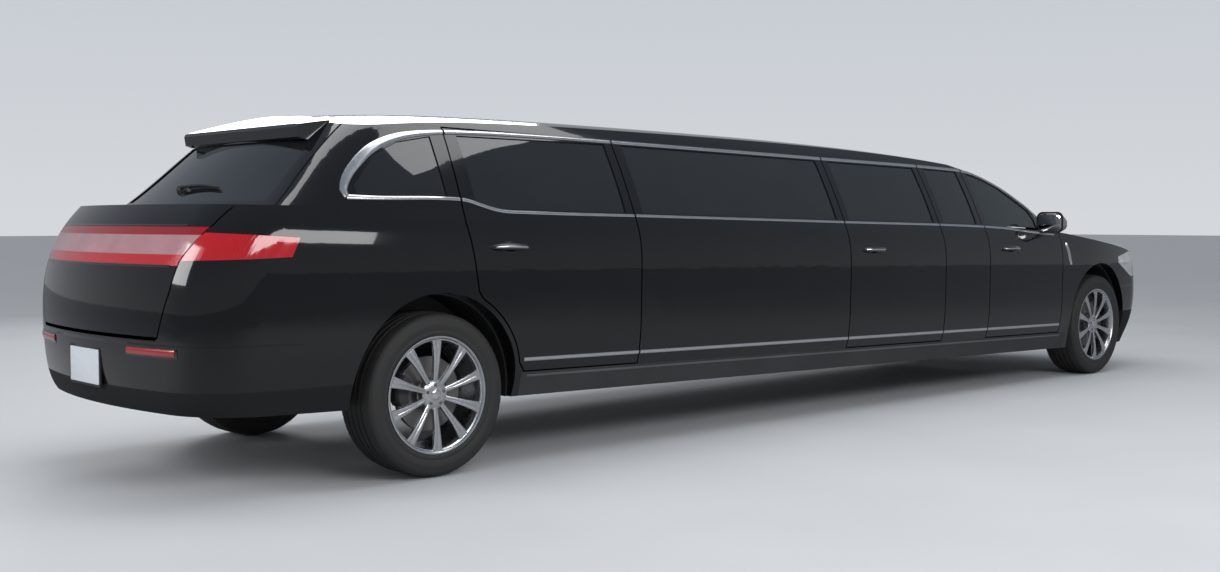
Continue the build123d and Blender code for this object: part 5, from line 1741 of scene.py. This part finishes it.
class Upholstery:
    """Padded seats: crowned forms, swollen together by one cloth pass, then sewn."""

    voxel = 0.016
    cap = 0.014
    pressure = 4.0
    frames = 20
    sides = 44
    square = 0.34
    pull = 0.022
    crown: Sequence[Flat] = (
        (0.0, 0.90), (0.10, 0.97), (0.45, 1.0), (0.75, 0.985), (0.93, 0.93), (1.02, 0.80), (1.08, 0.55),
        (1.10, 0.22),
    )
    rise = 0.88
    sew_depth = 0.006
    sew_width = 0.011
    stitch_gap = 0.010
    stitch_pitch = 0.010

    def __init__(self, shop: Shop) -> None:
        """Starts with no pads."""
        self.shop = shop
        self.made: list[tuple[bpy.types.Object, PadSize, Matrix]] = []

    @staticmethod
    def frame(pad: PadSize) -> Matrix:
        """The matrix from a pad's own axes (width, depth, thickness) to the row frame."""
        turn = Matrix.Rotation(math.radians(pad.turn), 4, "Z")
        lean = Matrix.Rotation(math.radians(pad.lean), 4, "Y")
        axes = Matrix(((0, 1, 0, 0), (-1, 0, 0, 0), (0, 0, 1, 0), (0, 0, 0, 1)))
        return RAKE.matrix() @ Matrix.Translation(pad.centre) @ turn @ lean @ axes

    def add(self, pad: PadSize) -> None:
        """Makes one pad's form: crowned above, flat below, with its sides drawn in between the corners."""
        place = self.frame(pad)
        rings = []
        for height, share in self.crown:
            ring = []
            for k in range(self.sides):
                a = TURN * k / self.sides
                u, v = (math.copysign(abs(w) ** self.square, w) for w in (math.cos(a), math.sin(a)))
                draw = share * (1 - self.pull * (1 - abs(u * v)))
                ring.append(place @ Vector((
                    u * pad.wide / 2 * draw, v * pad.deep / 2 * draw, pad.thick * height * self.rise,
                )))
            rings.append(ring)
        obj = Shape().loft(rings).object(pad.name, self.shop.finish["seat_leather"], 180.0)
        remesh = obj.modifiers.new("even", "REMESH")
        remesh.mode = "VOXEL"
        remesh.voxel_size = self.voxel
        freeze(obj)
        self.made.append((obj, pad, place))

    def swell(self) -> None:
        """Runs the cloth pass on every pad and caps how far a point moves."""
        if not self.made:
            return
        scene = bpy.context.scene
        for obj, _, _ in self.made:
            cloth = obj.modifiers.new("swell", "CLOTH")
            cloth.settings.use_pressure = True
            cloth.settings.uniform_pressure_force = self.pressure
            cloth.settings.effector_weights.gravity = 0.0
            cloth.settings.quality = 4
            cloth.collision_settings.use_collision = False
            cloth.point_cache.frame_start = 1
            cloth.point_cache.frame_end = self.frames
        for number in range(1, self.frames + 1):
            scene.frame_set(number)
        graph = bpy.context.evaluated_depsgraph_get()
        for obj, _, _ in self.made:
            shaped = obj.evaluated_get(graph)
            moved = [v.co.copy() for v in shaped.data.vertices]
            for vertex, target in zip(obj.data.vertices, moved):
                way = target - vertex.co
                if way.length > self.cap:
                    way = way.normalized() * self.cap
                vertex.co += way
            obj.modifiers.clear()
        scene.frame_set(1)

    def sew(self) -> None:
        for obj, pad, place in self.made:
            smooth = obj.modifiers.new("soft", "SUBSURF")
            smooth.levels = 1
            freeze(obj)
            back = place.inverted()
            up = place.to_3x3() @ UP
            mesh = obj.data
            for vertex in mesh.vertices:
                p = back @ vertex.co
                if p.z < pad.thick * 0.35:
                    continue
                near = min((abs(p.x - c * pad.wide) for c in pad.channels), default=1.0)
                inset = max(0.0, 1 - abs(p.y) / (pad.deep * 0.46))
                drop = self.sew_depth * math.exp(-((near / self.sew_width) ** 2)) * min(1.0, inset * 5)
                vertex.co -= up * drop
            mesh.materials.clear()
            mesh.materials.append(self.shop.finish["seat_leather"])
            smooth_by_angle(obj, 180.0)
            self.shop.ride(obj, "body", "leather")
            self._stitch(obj, pad, place)

    def _stitch(self, obj: bpy.types.Object, pad: PadSize, place: Matrix) -> None:
        """A row of stitches beside each channel."""
        mesh = obj.data
        tree = BVHTree.FromPolygons([v.co for v in mesh.vertices], [p.vertices for p in mesh.polygons])
        up = (place.to_3x3() @ UP).normalized()
        for number, c in enumerate(pad.channels):
            path = []
            for i in range(25):
                y = pad.deep * 0.40 * (i / 12 - 1)
                start = place @ Vector((c * pad.wide + self.stitch_gap, y, pad.thick * 2.5))
                point = tree.ray_cast(start, -up)[0]
                if point is not None:
                    path.append(point + up * 0.0008)
            if len(path) > 5:
                rows = self.shop.repeats.stitch(
                    f"{pad.name}_stitches_{number + 1}", path, self.shop.finish["trim_leather"],
                    self.stitch_pitch)
                self.shop.ride(rows, "body", "leather")


@dataclass
class Seats:
    """The front seats, the rear bench and the sofa of the lounge."""

    shop: Shop
    front_y: float = 0.38
    bench_y: Sequence[float] = (-0.462, 0.0, 0.462)
    sofa_start: float = 1.480
    sofa_pitch: float = 0.602
    sofa_places: int = 4

    def build(self) -> None:
        """Makes frames and pads."""
        self._frames()
        work = Upholstery(self.shop)
        for side in Side:
            y, word = side.value * self.front_y, side.word
            work.add(PadSize(f"front_cushion_{word}", (4.985, y, 0.470), 0.490, 0.480, 0.140, -3.0))
            work.add(PadSize(f"front_backrest_{word}", (4.772, y, 0.890), 0.460, 0.540, 0.110, 74.0))
            work.add(PadSize(f"front_headrest_{word}", (4.672, y, 1.205), 0.250, 0.150, 0.080, 80.0, 0.0, ()))
        for n, y in enumerate(self.bench_y, 1):
            work.add(PadSize(f"bench_cushion_{n}", (0.985, y, 0.480), 0.452, 0.380, 0.130, -3.0))
            work.add(PadSize(f"bench_backrest_{n}", (0.675, y, 0.860), 0.450, 0.480, 0.110, 76.0))
        for n in range(1, self.sofa_places + 1):
            x = self.sofa_start + self.sofa_pitch * (n - 1)
            work.add(PadSize(f"sofa_cushion_{n}", (x, 0.500, 0.490), 0.590, 0.330, 0.120, -3.0, -90.0))
            work.add(PadSize(f"sofa_backrest_{n}", (x, 0.725, 0.820), 0.585, 0.380, 0.075, 80.0, -90.0))
        work.swell()
        work.sew()

    def _frames(self) -> None:
        """The shells under and behind the pads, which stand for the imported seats."""
        shell = Shape()
        for side in Side:
            y = side.value * self.front_y
            self._box(shell, (4.715, 5.205, y - 0.235, y + 0.235, 0.350, 0.465), 0.03)
            self._lean(shell, 4.735, 0.56, 4.590, 1.165, y - 0.215, y + 0.215, 0.045)
        self.shop.put(shell, "front_seat_shells", "trim_leather", "body", "leather", 40.0, ["front_seats"])
        bench = Shape()
        self._box(bench, (0.690, 1.175, -0.690, 0.690, 0.350, 0.475), 0.03)
        self._lean(bench, 0.700, 0.56, 0.580, 1.110, -0.690, 0.690, 0.045)
        self._box(bench, (1.190, 3.590, 0.345, 0.770, 0.290, 0.485), 0.03)
        self._box(bench, (1.190, 3.590, 0.735, 0.775, 0.485, 1.020), 0.012)
        self.shop.put(bench, "lounge_seat_shells", "trim_leather", "body", "leather", 40.0, ["lounge_seats"])

    @staticmethod
    def _box(shape: Shape, box: Sequence[float], taper: float) -> None:
        """A plinth with rounded upright edges that narrows downwards."""
        x0, x1, y0, y1, z0, z1 = box
        mx, my = (x0 + x1) / 2, (y0 + y1) / 2
        rings = []
        for z, draw in ((z0, taper), (z0 + (z1 - z0) * 0.5, taper * 0.3), (z1 - 0.006, 0.0), (z1, 0.006)):
            flat = rounded(x1 - x0 - 2 * draw, y1 - y0 - 2 * draw, min(0.035, (y1 - y0) * 0.3), 4)
            rings.append([RAKE.point(mx + u, my + v, z) for u, v in flat])
        shape.loft(rings)

    @staticmethod
    def _lean(shape: Shape, x0: float, z0: float, x1: float, z1: float, y0: float, y1: float,
              thick: float) -> None:
        """A leaning back shell with a round top."""
        rings = []
        my = (y0 + y1) / 2
        for t, narrow, thin in ((0.0, 1.0, 1.0), (0.35, 1.0, 1.0), (0.7, 0.98, 0.95), (0.9, 0.93, 0.8),
                                (0.97, 0.86, 0.6), (1.0, 0.74, 0.3)):
            x, z = x0 + (x1 - x0) * t, z0 + (z1 - z0) * t
            flat = rounded(thick * thin, (y1 - y0) * narrow, thick * thin * 0.45, 4)
            rings.append([RAKE.point(x + u, my + v, z) for u, v in flat])
        shape.loft(rings)


@dataclass
class Cabin:
    """Carpet, steering wheel, and the dashboard's screen, hood and vents."""

    shop: Shop
    helm: Point = (2.2246, 0.380, 0.960)
    helm_lift: float = 0.013
    helm_rim: Point = (0.168, 0.0132, 0.0125)
    boss: Sequence[Flat] = (
        (-0.060, 0.020), (-0.014, 0.022), (-0.010, 0.056), (0.008, 0.060), (0.020, 0.050), (0.025, 0.030),
    )
    tilt: float = 25.0
    carpet_ends: Flat = (1.250, 4.180)
    carpet_line: Sequence[Flat] = (
        (-0.800, 0.2875), (-0.600, 0.2875), (-0.400, 0.2875), (-0.158, 0.2875), (-0.1525, 0.293),
        (-0.1525, 0.343), (-0.147, 0.3478), (0.0, 0.3478), (0.147, 0.3478), (0.1525, 0.343),
        (0.1525, 0.293), (0.158, 0.2875), (0.325, 0.2875),
    )
    dials: tuple[float, float] = (0.380, 1.000)
    vents: Sequence[float] = (-0.66, -0.20, 0.20, 0.66)

    def build(self) -> None:
        """Makes the cabin's pieces."""
        self._carpet()
        self._helm()
        self._dash()

    def _carpet(self) -> None:
        """The lounge carpet, laid over the floor and its tunnel."""
        line = self.carpet_line
        start, stop = self.carpet_ends
        length, count = round(stop - start, 3), 60
        verts = [RAKE.point(start + length * i / count, y, z) for i in range(count + 1) for y, z in line]
        n = len(line)
        faces = [(i * n + j, i * n + j + 1, (i + 1) * n + j + 1, (i + 1) * n + j)
                 for i in range(count) for j in range(n - 1)]
        obj = make_object("lounge_carpet", verts, faces, self.shop.finish["pile_carpet"], 60.0)
        self.shop.ride(obj, "body", "cabin_trim")

    def _helm(self) -> None:
        """The steering wheel: a stuffed rim, three spokes and a boss."""
        tilt = math.radians(self.tilt)
        out = Vector((-math.cos(tilt), 0, math.sin(tilt)))
        v = out.cross(ACROSS)
        centre = Vector(self.helm) + out * self.helm_lift

        def at(a: float, b: float, c: float) -> Vector:
            """A point by width, height and distance towards the driver."""
            return centre + ACROSS * a + v * b + out * c

        big, thin, flat = self.helm_rim
        rings = []
        for i in range(72):
            a = TURN * i / 72
            c, s = math.cos(a), math.sin(a)
            rings.append(circle(at(big * c, big * s, 0.0), (ACROSS * c + v * s) * thin, out * flat, 14))
        rim = Shape().loft(rings, closed=True)
        self.shop.put(rim, "helm_rim", "seat_leather", "steering_wheel", "leather", 60.0, ["steering_wheel"])
        body = Shape()
        for a in (0.0, math.pi, -math.pi / 2):
            c, s = math.cos(a), math.sin(a)
            rings = []
            for t in (0.0, 0.35, 0.7, 1.0):
                r, half = 0.045 + 0.118 * t, 0.024 - 0.009 * t
                rings.append([
                    at(r * c - w * half * s, r * s + w * half * c, h)
                    for w, h in ((-1, -0.006), (-0.8, 0.006), (0.8, 0.006), (1, -0.006))
                ])
            body.loft(rings)
        body.loft([circle(at(0.0, 0.0, lift), ACROSS * r, v * (0.9 * r), 32) for lift, r in self.boss])
        self.shop.put(body, "helm_boss", "cabin_grain", "steering_wheel", "cabin_trim", 40.0)

    def _dash(self) -> None:
        """The middle screen, the dials' hood and four air vents."""
        outline = [RAKE.point(5.270, y, 1.085 + z) for y, z in rounded(0.250, 0.130, 0.014)]
        screen = Shape().slab(outline, Vector((-0.014, 0, 0.002)), 0.003)
        self.shop.put(screen, "dash_screen", "gloss_black", "body", "gloss_black", 30.0)
        y, z = self.dials
        rings = []
        for x, wide, rise in ((5.245, 0.150, 0.062), (5.300, 0.150, 0.070), (5.370, 0.135, 0.050),
                              (5.430, 0.100, 0.012)):
            arc = [math.pi * k / 16 for k in range(17)]
            outer = [RAKE.point(x, y + wide * math.cos(a), z + 0.02 + rise * math.sin(a)) for a in arc]
            inner = [
                RAKE.point(x, y + (wide - 0.008) * math.cos(a), z + 0.008 + (rise - 0.004) * math.sin(a))
                for a in reversed(arc)
            ]
            rings.append(outer + inner)
        self.shop.put(Shape().loft(rings), "dash_hood", "cabin_grain", "body", "cabin_trim", 40.0)
        vents = Shape()
        for y in self.vents:
            for row in range(4):
                outline = [
                    RAKE.point(5.186 + dx, y + dy, 0.938 + 0.013 * row)
                    for dx, dy in ((0.0, -0.055), (0.012, -0.055), (0.012, 0.055), (0.0, 0.055))
                ]
                vents.slab(outline, UP * 0.003, 0.0005)
        self.shop.put(vents, "dash_vents", "satin_bright", "body", "bright", 30.0)


@dataclass(frozen=True)
class Lamp:
    """A softbox: its place, what it faces, its size, its power and how much of it shows in gloss."""

    name: str
    place: Point
    aim: Point
    size: Flat
    power: float
    gloss: float


@dataclass
class Studio:
    """The camera, the lamps, the world and the pale floor."""

    eye: Point = (-6.4934, -5.890, 1.160)
    tilt: float = 90.0 - 2.815
    heading: float = -43.007
    lens: float = 40.15
    calm: float = 0.55
    fill: float = 0.55
    floor: float = 90.0
    lamps: Sequence[Lamp] = (
        Lamp("overhead", (-0.5, -0.5, 7.0), (0.0, 0.0, 0.6), (9.0, 3.2), 250.0, 0.04),
        Lamp("near_side", (-2.0, -8.0, 4.2), (0.3, 0.0, 0.7), (7.0, 2.0), 260.0, 0.35),
        Lamp("tail", (-9.5, 1.5, 3.6), (-3.0, 0.0, 0.8), (3.0, 3.0), 190.0, 0.08),
        Lamp("far_side", (2.0, 8.0, 4.5), (0.0, 0.0, 0.8), (6.0, 2.0), 160.0, 0.04),
    )

    def build(self) -> None:
        """Makes the studio."""
        self._camera()
        self._floor()
        self._world()
        self._lamps()
        view = bpy.context.scene.view_settings
        view.view_transform = "Standard"

    def _camera(self) -> None:
        """The camera at the photograph's viewing angle."""
        data = bpy.data.cameras.new("camera")
        data.lens = self.lens
        data.sensor_width = 36.0
        data.sensor_fit = "HORIZONTAL"
        data.clip_end = 400.0
        camera = bpy.data.objects.new("camera", data)
        camera.location = self.eye
        camera.rotation_euler = (math.radians(self.tilt), 0.0, math.radians(self.heading))
        bpy.context.scene.collection.objects.link(camera)
        bpy.context.scene.camera = camera

    def _floor(self) -> None:
        """A wide pale floor, dark grey to glossy rays: a painted shade in the car's reflections of it."""
        t = Tree("studio_floor")
        cloud = t.noise(0.9, 4.0)
        tone = t.mix(cloud, (0.56, 0.575, 0.60), (0.62, 0.635, 0.655))
        # Glossy rays see the floor darkened towards 0.05 grey: painted shade in the floor's reflections on
        # the car.
        glossy = t.node("ShaderNodeLightPath", {}, {}, "Is Glossy Ray")
        tone = t.mix(glossy * self.calm, tone, (0.05, 0.05, 0.05))
        material = t.surface({
            "Base Color": tone, "Roughness": cloud * 0.2 + 0.55,
            "Normal": t.bump(t.noise(150.0, 3.0), 0.08, 0.002),
        })
        half = self.floor
        corners = [(sx * half, sy * half, 0.0) for sx, sy in ((-1, -1), (1, -1), (1, 1), (-1, 1))]
        mesh = bpy.data.meshes.new("studio_floor")
        mesh.from_pydata(corners, [], [(0, 1, 2, 3)])
        mesh.materials.append(material)
        floor = bpy.data.objects.new("studio_floor", mesh)
        bpy.context.scene.collection.objects.link(floor)

    def _world(self) -> None:
        """A plain level of light, with a pale backdrop for camera, glossy and see-through rays."""
        world = bpy.data.worlds.new("studio")
        world.use_nodes = True
        bpy.context.scene.world = world
        g = Graph(world.node_tree)
        path = g.node("ShaderNodeLightPath")
        glossy = path["Is Glossy Ray"]
        seen = path["Is Camera Ray"].math("MAXIMUM", path["Is Camera Ray"], glossy)
        seen = seen.math("MAXIMUM", seen, path["Is Transmission Ray"])
        place = g.node("ShaderNodeTexCoord", output="Generated")
        height = g.node("ShaderNodeSeparateXYZ", {}, {0: place}, "Z")
        sky = g.node("ShaderNodeValToRGB", {
            "stops": ((0.0, (0.66, 0.68, 0.71)), (0.5, (0.40, 0.46, 0.55))),
        }, {0: height})
        backdrop = g.node("ShaderNodeBackground", {}, {0: sky, 1: 1 - glossy * self.calm})
        light = g.node("ShaderNodeBackground", {}, {0: (0.93, 0.96, 1.0, 1.0), 1: self.fill})
        g.close("ShaderNodeOutputWorld", g.node("ShaderNodeMixShader", {}, {0: seen, 1: light, 2: backdrop}))

    def _lamps(self) -> None:
        """Softboxes over and beside the car."""
        for lamp in self.lamps:
            data = bpy.data.lights.new(lamp.name, "AREA")
            data.shape = "RECTANGLE"
            data.size, data.size_y = lamp.size
            data.energy = lamp.power
            data.specular_factor = lamp.gloss
            obj = bpy.data.objects.new(lamp.name, data)
            obj.location = lamp.place
            way = Vector(lamp.aim) - Vector(lamp.place)
            obj.rotation_euler = way.to_track_quat("-Z", "Y").to_euler()
            bpy.context.scene.collection.objects.link(obj)


def main() -> None:
    """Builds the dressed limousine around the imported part."""
    logging.basicConfig(level=logging.INFO, format="%(name)s %(message)s")
    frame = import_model()
    nodes = frame["nodes"]
    groups = frame["record"]["behaviour"]["bodies"]
    bodies = {node: body for body, members in groups.items() for node in members}
    outside = [n for n in nodes if not n.startswith(HIDDEN)]
    shop = Shop(nodes, bodies, Finishes(), Skin(nodes, outside), Repeats())
    for assembly in (Bodywork, Brightwork, Handles, Vents, Tail, Nose, Mirrors, Cabin, Seats):
        assembly(shop).build()
    for end in End:
        for side in Side:
            Wheel(shop, end, side).build()
    Studio().build()


if __name__ == "__main__":
    main()
